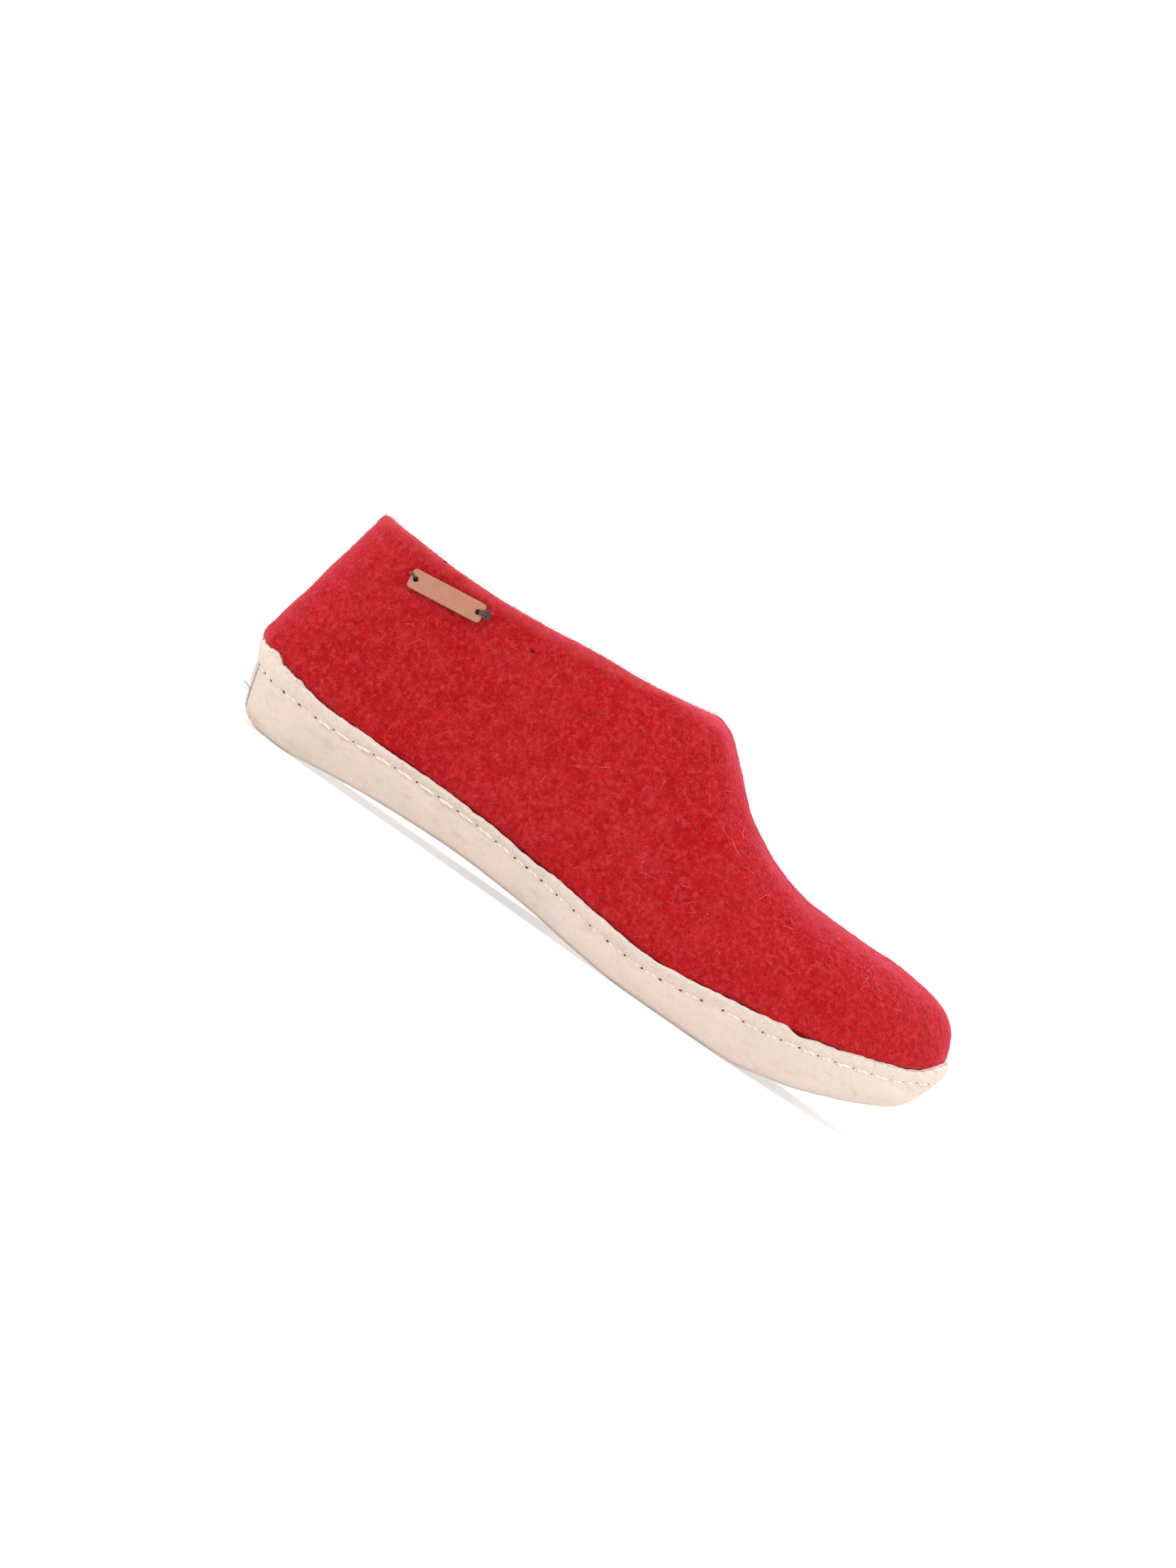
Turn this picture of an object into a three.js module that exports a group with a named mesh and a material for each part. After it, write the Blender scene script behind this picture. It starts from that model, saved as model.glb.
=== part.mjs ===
// A right house shoe of thick wool felt on a cream suede cup sole, standing on its sole.
// The felt upper is one hollow wall, open at the collar and underneath. Its lower edge stands in the
// cup of the sole, whose thin lip wraps up round it. A felt insole lies on the sole's floor, and a small
// leather tag is tied to the outer side near the heel with two threads.
// Millimetres, +X to the toe, +Y to the inner side of the foot, +Z up, the floor at Z = 0.
import * as THREE from "three";
import { mergeVertices } from "three/addons/utils/BufferGeometryUtils.js";

// Driving sizes of the shoe
const LENGTH = 268;
const BALL_WIDTH = 100;
const COLLAR_HEIGHT = 82; // floor to the collar's outer edge at the heel
const INSTEP_HEIGHT = 90.7; // floor to the outer edge of the throat
const TOE_HEIGHT = 56.2; // floor to the top of the toe box
const COLLAR_BACK = 10.7; // how far the collar leans in from the back of the heel
const THROAT = 140; // from the back of the heel to the throat

// Driving sizes of the sole
const HEEL_BAND = 26.3; // height of the suede side at the back of the heel
const HEEL_CORE = 14.5; // thickness of the sole under the heel
const TOE_SPRING = 26.3; // how far the front of the tread is off the floor
const LIP_WALL = 2; // thickness of the suede side where it stands free
const LIP_CROWN = 0.4; // how far the lip's middle stands above its edges
const STITCH_DROP = 4; // from the lip's edge down to the seam at the ball of the foot
const STITCH_GROOVE = 0.5; // how deep the seam pulls the suede in
const STITCH_SPREAD = 1.4; // how far the groove reaches above and below the seam
const BAND_BULGE = 1.5; // how far the side swells between seam and tread at the toe
const LAP_PLACE = 14; // where the suede's ends lap, from the middle of the heel to the outer side
const LAP_EDGE = 1; // width of the slope from the upper end down to the under one
const LAP_STEP = 0.8; // how far the under end lies below the upper one
const LAP_FADE = 22; // along the inner side, to where the lap has faded out

// Driving sizes of the felt
const FELT_WALL = 4;
const RIM_CROWN = 1; // how far the middle of the collar's rim stands above its edges
const SEAT_PUFF = 4.5; // above the lip, where the felt has swelled out over it
const LIP_PROUD = 0.5; // how far the lip still stands out there
const INSOLE_THICKNESS = 3.5;
const CLEARANCE = 0.3; // between pieces that touch

// Driving sizes of the tag and its threads
const TAG_LENGTH = 27;
const TAG_WIDTH = 7;
const TAG_THICKNESS = 1.3;
const TAG_CORNER = 1.4;
const TAG_EDGE = 0.2; // bevel round its faces
const TAG_PLACE = 44.1; // its middle, from the back of the heel
const TAG_HEIGHT = 72.1; // its middle, above the floor
const TAG_TILT = 7; // degrees, up towards the toe
const TAG_HOLE = 1.8; // across
const TAG_HOLE_INSET = 2; // from each end to the middle of its hole
const THREAD = 0.9; // across
const THREAD_REACH = 1.6; // from the tag's edge to where its thread goes into the felt

// How finely the forms are cut into faces
const COLUMNS = 72; // round the shoe
const FELT_ROWS = 19; // up the felt, above the lip
const THREAD_STEPS = 14;
const THREAD_SIDES = 8;

// The sole along its length, as shares: under of TOE_SPRING, core of HEEL_CORE, band of HEEL_BAND,
// seam of STITCH_DROP
const SOLE_SECTIONS = [
  { at: 0.0, under: 0, core: 1.0, band: 1.0, seam: 1.85 },
  { at: 0.028, under: 0, core: 0.99, band: 0.9, seam: 1.82 },
  { at: 0.045, under: 0, core: 0.98, band: 0.86, seam: 1.72 },
  { at: 0.1, under: 0, core: 0.88, band: 0.763, seam: 1.28 },
  { at: 0.16, under: 0.075, core: 0.66, band: 0.648, seam: 0.95 },
  { at: 0.25, under: 0.16, core: 0.48, band: 0.578, seam: 0.72 },
  { at: 0.35, under: 0.195, core: 0.39, band: 0.522, seam: 0.66 },
  { at: 0.45, under: 0.15, core: 0.36, band: 0.489, seam: 0.78 },
  { at: 0.55, under: 0.04, core: 0.4, band: 0.507, seam: 1.05 },
  { at: 0.61, under: 0, core: 0.43, band: 0.5, seam: 1.0 },
  { at: 0.66, under: 0, core: 0.45, band: 0.526, seam: 0.95 },
  { at: 0.7, under: 0, core: 0.52, band: 0.596, seam: 1.03 },
  { at: 0.76, under: 0, core: 0.64, band: 0.678, seam: 1.06 },
  { at: 0.8, under: 0.07, core: 0.63, band: 0.663, seam: 0.95 },
  { at: 0.85, under: 0.18, core: 0.6, band: 0.635, seam: 0.93 },
  { at: 0.9, under: 0.35, core: 0.55, band: 0.595, seam: 0.96 },
  { at: 0.95, under: 0.56, core: 0.5, band: 0.54, seam: 1.12 },
  { at: 0.98, under: 0.765, core: 0.36, band: 0.455, seam: 1.1 },
  { at: 1.0, under: 1.0, core: 0.14, band: 0.375, seam: 1.1 },
];

// The outline of the lip seen from above, as shares of BALL_WIDTH
const PLAN_SECTIONS = [
  { at: 0.0, centre: 0.0, half: 0.35 },
  { at: 0.16, centre: 0.0, half: 0.348 },
  { at: 0.3, centre: -0.015, half: 0.342 },
  { at: 0.42, centre: -0.03, half: 0.356 },
  { at: 0.54, centre: -0.033, half: 0.418 },
  { at: 0.65, centre: -0.018, half: 0.482 },
  { at: 0.74, centre: 0.003, half: 0.5 },
  { at: 0.84, centre: 0.03, half: 0.498 },
  { at: 1.0, centre: 0.075, half: 0.48 },
];
const HEEL_END = { reach: 0.17, power: 2.3 }; // the round ends of the outline, as shares of LENGTH
const TOE_END = { reach: 0.34, power: 2.3 };

// The collar from heel to throat, as shares: centre and half of BALL_WIDTH,
// rise of the way from COLLAR_HEIGHT to INSTEP_HEIGHT
const COLLAR_SECTIONS = [
  { at: 0.0, centre: 0.0, half: 0.3, rise: 0.0 },
  { at: 0.12, centre: 0.0, half: 0.3, rise: -0.13 },
  { at: 0.22, centre: 0.0, half: 0.3, rise: -0.22 },
  { at: 0.35, centre: 0.0, half: 0.298, rise: -0.2 },
  { at: 0.5, centre: 0.0, half: 0.288, rise: -0.03 },
  { at: 0.65, centre: 0.004, half: 0.266, rise: 0.28 },
  { at: 0.8, centre: 0.01, half: 0.234, rise: 0.52 },
  { at: 0.92, centre: 0.018, half: 0.198, rise: 0.79 },
  { at: 1.0, centre: 0.022, half: 0.17, rise: 1.0 },
];
const COLLAR_HEEL_END = { reach: 0.24, power: 2.2 }; // as shares of the collar's length
const THROAT_END = { reach: 0.3, power: 2.3 };

// The ridge of the vamp from throat to toe: fall is a share of the way from INSTEP_HEIGHT to TOE_HEIGHT
const RIDGE_SECTIONS = [
  { at: 0.0, fall: 0.0 },
  { at: 0.03, fall: 0.02 },
  { at: 0.055, fall: 0.08 },
  { at: 0.165, fall: 0.421 },
  { at: 0.265, fall: 0.704 },
  { at: 0.375, fall: 0.893 },
  { at: 0.48, fall: 0.975 },
  { at: 0.69, fall: 0.99 },
  { at: 1.0, fall: 1.0 },
];

// The wall round the shoe, from heel to toe. lean is the power by which the felt leans in as it rises,
// arch says how far it is a leaning side, 0, or a roof that rounds over, 1, and shoulder is the
// distance over which it rounds, a share of BALL_WIDTH. under is how far the tread's edge lies
// inside the lip, a share of BALL_WIDTH, flare the power by which the suede side comes out from the
// tread, and bulge the share of BAND_BULGE by which it swells.
const ROUND_SECTIONS = [
  { at: 0.0, lean: 1.15, arch: 0, shoulder: 0.3, under: 0.112, flare: 0.68, bulge: 0.1 },
  { at: 0.03, lean: 1.17, arch: 0, shoulder: 0.3, under: 0.11, flare: 0.68, bulge: 0.11 },
  { at: 0.12, lean: 1.4, arch: 0, shoulder: 0.3, under: 0.075, flare: 0.65, bulge: 0.2 },
  { at: 0.3, lean: 1.8, arch: 0, shoulder: 0.3, under: 0.042, flare: 0.6, bulge: 0.3 },
  { at: 0.45, lean: 1.9, arch: 0.15, shoulder: 0.3, under: 0.04, flare: 0.6, bulge: 0.35 },
  { at: 0.55, lean: 2.0, arch: 0.6, shoulder: 0.3, under: 0.04, flare: 0.6, bulge: 0.35 },
  { at: 0.65, lean: 2.0, arch: 1, shoulder: 0.29, under: 0.042, flare: 0.6, bulge: 0.4 },
  { at: 0.8, lean: 2.0, arch: 1, shoulder: 0.2, under: 0.055, flare: 0.55, bulge: 0.6 },
  { at: 0.92, lean: 2.0, arch: 1, shoulder: 0.13, under: 0.085, flare: 0.47, bulge: 0.9 },
  { at: 0.97, lean: 2.0, arch: 1, shoulder: 0.109, under: 0.103, flare: 0.45, bulge: 0.98 },
  { at: 1.0, lean: 2.0, arch: 1, shoulder: 0.107, under: 0.105, flare: 0.45, bulge: 1.0 },
];
const COLLAR_FAN = 0.8; // how far the columns crowd towards the throat, from 0 to 1

const { lerp: mix, smoothstep, degToRad } = THREE.MathUtils;

// A column of a table at a place, on a smooth curve through its rows that never overshoots them
function along(table, column, place) {
  const last = table.length - 1;
  const p = THREE.MathUtils.clamp(place, table[0].at, table[last].at);
  let i = 0;
  while (i < last - 1 && p > table[i + 1].at) i += 1;
  const rise = (k) =>
    (table[k + 1][column] - table[k][column]) / (table[k + 1].at - table[k].at);
  const slope = (k) => {
    if (k === 0) return rise(0);
    if (k === last) return rise(last - 1);
    const before = rise(k - 1);
    const after = rise(k);
    return before * after <= 0 ? 0 : (2 * before * after) / (before + after);
  };
  const span = table[i + 1].at - table[i].at;
  const t = (p - table[i].at) / span;
  const t2 = t * t;
  const t3 = t2 * t;
  return (
    (2 * t3 - 3 * t2 + 1) * table[i][column] +
    (t3 - 2 * t2 + t) * span * slope(i) +
    (3 * t2 - 2 * t3) * table[i + 1][column] +
    (t3 - t2) * span * slope(i + 1)
  );
}

// Grows from 0 at an end of an outline to 1 at its reach, round a superellipse
function roundEnd(distance, end) {
  const left = Math.max(0, 1 - distance / end.reach);
  return (1 - left ** end.power) ** (1 / end.power);
}

const treadHeight = (x) => along(SOLE_SECTIONS, "under", x / LENGTH) * TOE_SPRING;
const floorHeight = (x) => treadHeight(x) + along(SOLE_SECTIONS, "core", x / LENGTH) * HEEL_CORE;
const lipHeight = (x) => treadHeight(x) + along(SOLE_SECTIONS, "band", x / LENGTH) * HEEL_BAND;
const seamDrop = (x) => along(SOLE_SECTIONS, "seam", x / LENGTH) * STITCH_DROP;

// The height of the vamp's ridge, which stays level behind the throat
function ridgeHeight(x) {
  const place = (x - THROAT) / (LENGTH - THROAT);
  return mix(INSTEP_HEIGHT, TOE_HEIGHT, along(RIDGE_SECTIONS, "fall", place));
}

// One side of an outline from heel to toe. side is -1 outside and 1 inside.
class LipLine extends THREE.Curve {
  constructor(side) {
    super();
    this.side = side;
    this.arcLengthDivisions = 400;
  }
  getPoint(u, target = new THREE.Vector3()) {
    const at = (1 - Math.cos(Math.PI * u)) / 2;
    const round = roundEnd(at, HEEL_END) * roundEnd(1 - at, TOE_END);
    const half = along(PLAN_SECTIONS, "half", at) * round;
    const y = (along(PLAN_SECTIONS, "centre", at) + this.side * half) * BALL_WIDTH;
    return target.set(at * LENGTH, y, lipHeight(at * LENGTH));
  }
}

class CollarLine extends THREE.Curve {
  constructor(side) {
    super();
    this.side = side;
    this.arcLengthDivisions = 400;
  }
  getPoint(u, target = new THREE.Vector3()) {
    const at = (1 - Math.cos(Math.PI * u)) / 2;
    const round = roundEnd(at, COLLAR_HEEL_END) * roundEnd(1 - at, THROAT_END);
    const half = along(COLLAR_SECTIONS, "half", at) * round;
    const y = (along(COLLAR_SECTIONS, "centre", at) + this.side * half) * BALL_WIDTH;
    const z = mix(COLLAR_HEIGHT, INSTEP_HEIGHT, along(COLLAR_SECTIONS, "rise", at));
    return target.set(mix(COLLAR_BACK, THROAT, at), y, z);
  }
}

// The outer face of the felt in one column, from the lip of the sole up to the collar
class FeltLine extends THREE.Curve {
  constructor(lip, collar, around) {
    super();
    this.lip = lip;
    this.collar = collar;
    this.lean = along(ROUND_SECTIONS, "lean", around);
    this.arch = along(ROUND_SECTIONS, "arch", around);
    const reach = Math.hypot(collar.x - lip.x, collar.y - lip.y);
    this.squareness = reach / (along(ROUND_SECTIONS, "shoulder", around) * BALL_WIDTH);
    this.arcLengthDivisions = 120;
  }
  getPoint(v, target = new THREE.Vector3()) {
    const across = mix(v ** this.lean, v ** 2, this.arch);
    const up = mix(v, Math.sqrt(1 - (1 - v ** 2) ** this.squareness), this.arch);
    target.lerpVectors(this.lip, this.collar, across);
    const top = this.collar.z + ridgeHeight(target.x) - ridgeHeight(this.collar.x);
    target.z = mix(this.lip.z, top, up);
    return target;
  }
}

const LIP_LINES = { "-1": new LipLine(-1), 1: new LipLine(1) };
const COLLAR_LINES = { "-1": new CollarLine(-1), 1: new CollarLine(1) };

// What the pieces need of the shoe's form in one column. around goes from 0 at the heel to 1 at the toe.
function column(side, around) {
  const lipLine = LIP_LINES[side];
  const lip = lipLine.getPointAt(around);
  const left = 1 - around;
  const collar = COLLAR_LINES[side].getPointAt(1 - mix(left, left ** 2, COLLAR_FAN));
  const tangent = lipLine.getTangentAt(THREE.MathUtils.clamp(around, 0.001, 0.999));
  const flat = Math.hypot(tangent.x, tangent.y);
  const inward = new THREE.Vector3((side * tangent.y) / flat, (-side * tangent.x) / flat, 0);
  if (around === 0) inward.set(1, 0, 0);
  if (around === 1) inward.set(-1, 0, 0);
  const under = along(ROUND_SECTIONS, "under", around) * BALL_WIDTH;
  const tread = lip.clone().addScaledVector(inward, under);
  tread.z = treadHeight(tread.x);
  const fromHeel = around * lipLine.getLength();
  const flare = along(ROUND_SECTIONS, "flare", around);
  const bulge = along(ROUND_SECTIONS, "bulge", around) * BAND_BULGE;
  const felt = new FeltLine(lip, collar, around);
  return { side, around, fromHeel, lip, tread, flare, bulge, felt };
}

// The suede side at a share of the way from the tread to the lip
function sideAt(col, share) {
  const p = new THREE.Vector3().lerpVectors(col.tread, col.lip, share ** col.flare);
  p.z = mix(col.tread.z, col.lip.z, share);
  return p;
}

// The share up the side at which the sole's floor meets it
function floorShare(col) {
  const middle = sideAt(col, 0.5).x;
  return (floorHeight(middle) - col.tread.z) / (col.lip.z - col.tread.z);
}

// The columns round the shoe: down the outer side from heel to toe, and back up the inner side.
// Both sides have the same places, so column i faces column length - i.
function ringOf(places) {
  const outer = places.map((around) => column(-1, around));
  const inner = places.slice(1, -1).map((around) => column(1, around));
  return [...outer, ...inner.reverse()];
}

const EVEN_PLACES = Array.from({ length: COLUMNS / 2 + 1 }, (_, i) => i / (COLUMNS / 2));
const RING = ringOf(EVEN_PLACES);

// The outward direction at each point of a sheet, which has a row for each height and a point for each column
function sheetNormals(rows) {
  const count = rows[0].length;
  return rows.map((row, r) =>
    row.map((_, c) => {
      const above = rows[Math.min(r + 1, rows.length - 1)][c];
      const below = rows[Math.max(r - 1, 0)][c];
      const next = row[(c + 1) % count];
      const last = row[(c + count - 1) % count];
      const round = new THREE.Vector3().subVectors(next, last);
      const up = new THREE.Vector3().subVectors(above, below);
      return round.cross(up).normalize();
    }),
  );
}

// The points of a row moved in by a depth, against their outward directions
const inset = (row, normals, depth) =>
  row.map((p, c) => p.clone().addScaledVector(normals[c], -depth));

// A row of points on the suede side, at the share and the depth that two functions give for each column
function sideRow(ring, shareOf, depthOf) {
  const step = 0.05;
  const rowAt = (shift) =>
    ring.map((col) => sideAt(col, THREE.MathUtils.clamp(shareOf(col) + shift, 0, 1)));
  const row = rowAt(0);
  const normals = sheetNormals([rowAt(-step), row, rowAt(step)])[1];
  return row.map((p, c) => p.addScaledVector(normals[c], -depthOf(ring[c])));
}

// Puts each point of a ring at the height that a function gives for its place along the shoe
const levelled = (ring, heightAt) =>
  ring.map((p) => new THREE.Vector3(p.x, p.y, heightAt(p.x)));

// Rings that fill a ring's inside towards the shoe's middle line, at the height that a function gives
const FILL_SHARES = [0.8, 0.55, 0.28];
const SPINE_ENDS = [0.13, 0.86]; // as shares of LENGTH
function fillRings(ring, heightAt) {
  const count = ring.length;
  return FILL_SHARES.map((share) =>
    ring.map((p, c) => {
      const facing = ring[(count - c) % count];
      const [heel, toe] = SPINE_ENDS.map((end) => end * LENGTH);
      const x = THREE.MathUtils.clamp((p.x + facing.x) / 2, heel, toe);
      const y = along(PLAN_SECTIONS, "centre", x / LENGTH) * BALL_WIDTH;
      const q = new THREE.Vector3(x, y, 0).lerp(p, share);
      q.z = heightAt(q.x);
      return q;
    }),
  );
}

// A closed solid from rings of points that follow each other from its outside to its inside. Where the
// solid has a hole through it, the last ring joins the first. Elsewhere each of them is closed across.
function solidOf(rings, hasHole) {
  const count = rings[0].length;
  const index = [];
  const quad = (a, b, c, d) => index.push(a, b, c, a, c, d);
  const bands = hasHole ? rings.length : rings.length - 1;
  for (let r = 0; r < bands; r += 1) {
    const here = r * count;
    const there = ((r + 1) % rings.length) * count;
    for (let c = 0; c < count; c += 1) {
      const d = (c + 1) % count;
      quad(here + c, here + d, there + d, there + c);
    }
  }
  if (!hasHole) {
    const top = (rings.length - 1) * count;
    for (let c = 0; c < count / 2; c += 1) {
      const facing = (count - c) % count;
      quad(c + 1, c, facing, count - c - 1);
      quad(top + c, top + c + 1, top + count - c - 1, top + facing);
    }
  }
  const geometry = new THREE.BufferGeometry();
  const positions = rings.flat().flatMap((p) => [p.x, p.y, p.z]);
  geometry.setAttribute("position", new THREE.Float32BufferAttribute(positions, 3));
  geometry.setIndex(index);
  const merged = mergeVertices(geometry, 1e-4);
  const corners = Array.from(merged.index.array);
  const kept = [];
  while (corners.length > 0) {
    const [a, b, c] = corners.splice(-3);
    if (a !== b && b !== c && a !== c) kept.push(a, b, c);
  }
  merged.setIndex(kept);
  merged.computeVertexNormals();
  return merged;
}

// The felt upper, from its lower edge on the sole's floor up the outside, over the rim and down the inside
function upperGeometry() {
  const lipDepth = LIP_WALL + CLEARANCE;
  const row = (pointOf, depth) => ({ points: RING.map(pointOf), depth });
  const seatRows = [0, 0.5, 1].map((up) =>
    row((col) => sideAt(col, mix(floorShare(col), 1, up)), lipDepth),
  );
  const puffStart = 0.4;
  const feltRow = (distanceOf, depth) =>
    row((col) => col.felt.getPointAt(distanceOf(col.felt.getLength()) / col.felt.getLength()), depth);
  const rows = [...seatRows, feltRow(() => SEAT_PUFF * puffStart, lipDepth * 0.5)];
  for (let r = 0; r <= FELT_ROWS; r += 1) {
    const up = r / FELT_ROWS;
    rows.push(feltRow((length) => mix(SEAT_PUFF, length, up), mix(LIP_PROUD, 0, up)));
  }
  const normals = sheetNormals(rows.map(({ points }) => points));
  const outer = rows.map(({ points, depth }, r) => inset(points, normals[r], depth));
  const inner = rows.map(({ points, depth }, r) => inset(points, normals[r], depth + FELT_WALL));
  const seatHeight = (x) => floorHeight(x) + CLEARANCE;
  outer[0] = levelled(outer[0], seatHeight);
  inner[0] = levelled(inner[0], seatHeight);
  const rim = outer.at(-1).map((p, c) => {
    const rising = new THREE.Vector3().subVectors(p, outer.at(-2)[c]).normalize();
    return p.clone().lerp(inner.at(-1)[c], 0.5).addScaledVector(rising, RIM_CROWN);
  });
  const lining = inner.reverse().filter((_, r) => r % 2 === 0 || r >= FELT_ROWS);
  return solidOf([...outer, rim, ...lining], true);
}

// How far the suede lies below its full form where its ends lap at the heel
function lapDepth(col) {
  const place = -col.side * col.fromHeel;
  const underLap = 1 - smoothstep(place, LAP_PLACE - LAP_EDGE, LAP_PLACE);
  const faded = smoothstep(place, -LAP_FADE, 0);
  return LAP_STEP * underLap * faded;
}

// The suede cup sole, from the tread up the outside, over the lip and down to the floor under the foot
const SIDE_SHARES = [0.03, 0.12, 0.3, 0.55, 0.8]; // of the way from the tread to the seam's groove
function soleGeometry() {
  const length = LIP_LINES[-1].getLength();
  const lapPlaces = [(LAP_PLACE - LAP_EDGE) / length, LAP_PLACE / length];
  const ring = ringOf([...EVEN_PLACES, ...lapPlaces].sort((a, b) => a - b));
  const seamShare = (col, above) => 1 - (seamDrop(col.lip.x) - above) / (col.lip.z - col.tread.z);
  const swollen = SIDE_SHARES.map((share) =>
    sideRow(
      ring,
      (col) => share * seamShare(col, -STITCH_SPREAD),
      (col) => lapDepth(col) - col.bulge * Math.sin(Math.PI * share),
    ),
  );
  const groove = [-STITCH_SPREAD, 0, STITCH_SPREAD].map((above) =>
    sideRow(
      ring,
      (col) => seamShare(col, above),
      (col) => lapDepth(col) + (above === 0 ? STITCH_GROOVE : 0),
    ),
  );
  const lip = sideRow(ring, () => 1, () => 0);
  const within = [1, 0.5, 0].map((up) =>
    sideRow(ring, (col) => mix(floorShare(col), 1, up), () => LIP_WALL),
  );
  within[2] = levelled(within[2], floorHeight);
  const crown = lip.map((p, c) => {
    const top = p.clone().lerp(within[0][c], 0.5);
    top.z += LIP_CROWN;
    return top;
  });
  const edge = ring.map((col) => col.tread);
  const tread = fillRings(edge, treadHeight).reverse();
  const floor = fillRings(within[2], floorHeight);
  return solidOf([...tread, edge, ...swollen, ...groove, lip, crown, ...within, ...floor], false);
}

// The felt insole on the sole's floor, inside the upper
function insoleGeometry() {
  const depth = LIP_WALL + CLEARANCE + FELT_WALL + CLEARANCE;
  const edge = sideRow(RING, floorShare, () => depth);
  const bottomHeight = (x) => floorHeight(x) + CLEARANCE;
  const topHeight = (x) => bottomHeight(x) + INSOLE_THICKNESS;
  const lower = levelled(edge, bottomHeight);
  const upper = levelled(edge, topHeight);
  const under = fillRings(lower, bottomHeight).reverse();
  const top = fillRings(upper, topHeight);
  return solidOf([...under, lower, upper, ...top], false);
}

// The place between low and high at which a growing function reaches a target
function solve(grows, target, low, high) {
  let [below, above] = [low, high];
  for (let i = 0; i < 30; i += 1) {
    const middle = (below + above) / 2;
    if (grows(middle) < target) below = middle;
    else above = middle;
  }
  return (below + above) / 2;
}

// The point of the felt's outer side at a distance from the heel and a height
function onFelt(x, z) {
  const pointOf = (around) => {
    const { felt } = column(-1, around);
    const up = solve((v) => felt.getPoint(v).z, z, 0, 1);
    return felt.getPoint(up);
  };
  const around = solve((a) => pointOf(a).x, x, 0.02, 0.5);
  return pointOf(around);
}

// Where the tag lies: its back on the felt, its length along X, its face along Z
function tagPlace() {
  const tilt = degToRad(TAG_TILT);
  const feltAt = (right, up) =>
    onFelt(
      TAG_PLACE + right * Math.cos(tilt) - up * Math.sin(tilt),
      TAG_HEIGHT + right * Math.sin(tilt) + up * Math.cos(tilt),
    );
  const rear = feltAt(-TAG_LENGTH / 2, 0);
  const front = feltAt(TAG_LENGTH / 2, 0);
  const rise = feltAt(0, TAG_WIDTH / 2).sub(feltAt(0, -TAG_WIDTH / 2));
  const right = new THREE.Vector3().subVectors(front, rear).normalize();
  const out = new THREE.Vector3().crossVectors(right, rise).normalize();
  const up = new THREE.Vector3().crossVectors(out, right);
  const middle = rear.clone().lerp(front, 0.5);
  const swell = feltAt(0, 0).sub(middle).dot(out);
  middle.addScaledVector(out, Math.max(swell, 0) + CLEARANCE);
  return new THREE.Matrix4().makeBasis(right, up, out).setPosition(middle);
}

// The leather tag: a plate with round corners, slightly bevelled, with a hole near each end
function tagGeometry() {
  const [x, y] = [TAG_LENGTH / 2 - TAG_EDGE, TAG_WIDTH / 2 - TAG_EDGE];
  const r = TAG_CORNER - TAG_EDGE;
  const plate = new THREE.Shape();
  plate.absarc(x - r, y - r, r, 0, Math.PI / 2);
  plate.absarc(r - x, y - r, r, Math.PI / 2, Math.PI);
  plate.absarc(r - x, r - y, r, Math.PI, Math.PI * 1.5);
  plate.absarc(x - r, r - y, r, Math.PI * 1.5, Math.PI * 2);
  plate.closePath();
  for (const end of [-1, 1]) {
    const hole = new THREE.Path();
    const place = end * (TAG_LENGTH / 2 - TAG_HOLE_INSET);
    hole.absarc(place, 0, TAG_HOLE / 2 + TAG_EDGE, 0, Math.PI * 2, true);
    plate.holes.push(hole);
  }
  const geometry = new THREE.ExtrudeGeometry(plate, {
    depth: TAG_THICKNESS - 2 * TAG_EDGE,
    bevelThickness: TAG_EDGE,
    bevelSize: TAG_EDGE,
    bevelSegments: 1,
    curveSegments: 4,
  });
  return geometry.translate(0, 0, TAG_EDGE);
}

// The route of a thread out of its hole, over the tag's edge and down to the felt. end is -1 at the
// heel's end of the tag and 1 at the other, and turn is how far the thread turns upwards, in degrees.
class ThreadLine extends THREE.Curve {
  constructor(end, turn) {
    super();
    this.start = end * (TAG_LENGTH / 2 - TAG_HOLE_INSET);
    const angle = degToRad(turn);
    this.across = new THREE.Vector3(end * Math.cos(angle), Math.sin(angle), 0);
    this.span = TAG_HOLE_INSET / Math.cos(angle) + THREAD_REACH;
    this.top = TAG_THICKNESS + CLEARANCE + THREAD / 2;
  }
  getPoint(u, target = new THREE.Vector3()) {
    const squareness = 0.5;
    const lean = Math.cos(Math.PI * u);
    const along = (this.span * (1 - Math.sign(lean) * Math.abs(lean) ** squareness)) / 2;
    const rise = this.top * Math.max(Math.sin(Math.PI * u), 0) ** squareness;
    return target.copy(this.across).multiplyScalar(along).add({ x: this.start, y: 0, z: rise });
  }
}

function threadGeometry(end, turn) {
  const section = new THREE.Shape();
  section.absarc(0, 0, THREAD / 2, 0, Math.PI * 2);
  return new THREE.ExtrudeGeometry(section, {
    steps: THREAD_STEPS,
    curveSegments: THREAD_SIDES / 2,
    extrudePath: new ThreadLine(end, turn),
  });
}

function piece(name, geometry, color, roughness) {
  const material = new THREE.MeshStandardMaterial({ color, roughness, metalness: 0 });
  const mesh = new THREE.Mesh(geometry, material);
  mesh.name = name;
  return mesh;
}

const body = new THREE.Group();
body.add(piece("sole", soleGeometry(), 0xe8d9ca, 0.9));
body.add(piece("upper", upperGeometry(), 0xc0262d, 0.95));
body.add(piece("insole", insoleGeometry(), 0xb42028, 0.95));

// The origin is on the floor, in the middle of the shoe's length and width
const centre = new THREE.Box3().setFromObject(body).getCenter(new THREE.Vector3());
body.position.set(-centre.x, -centre.y, 0);

const tag = new THREE.Group();
tag.applyMatrix4(tagPlace());
tag.add(piece("tag", tagGeometry(), 0xcf9480, 0.6));
tag.add(piece("tag_stitch_rear", threadGeometry(-1, 45), 0x6e5a4a, 0.85));
tag.add(piece("tag_stitch_front", threadGeometry(1, 8), 0x6e5a4a, 0.85));
body.add(tag);

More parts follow.
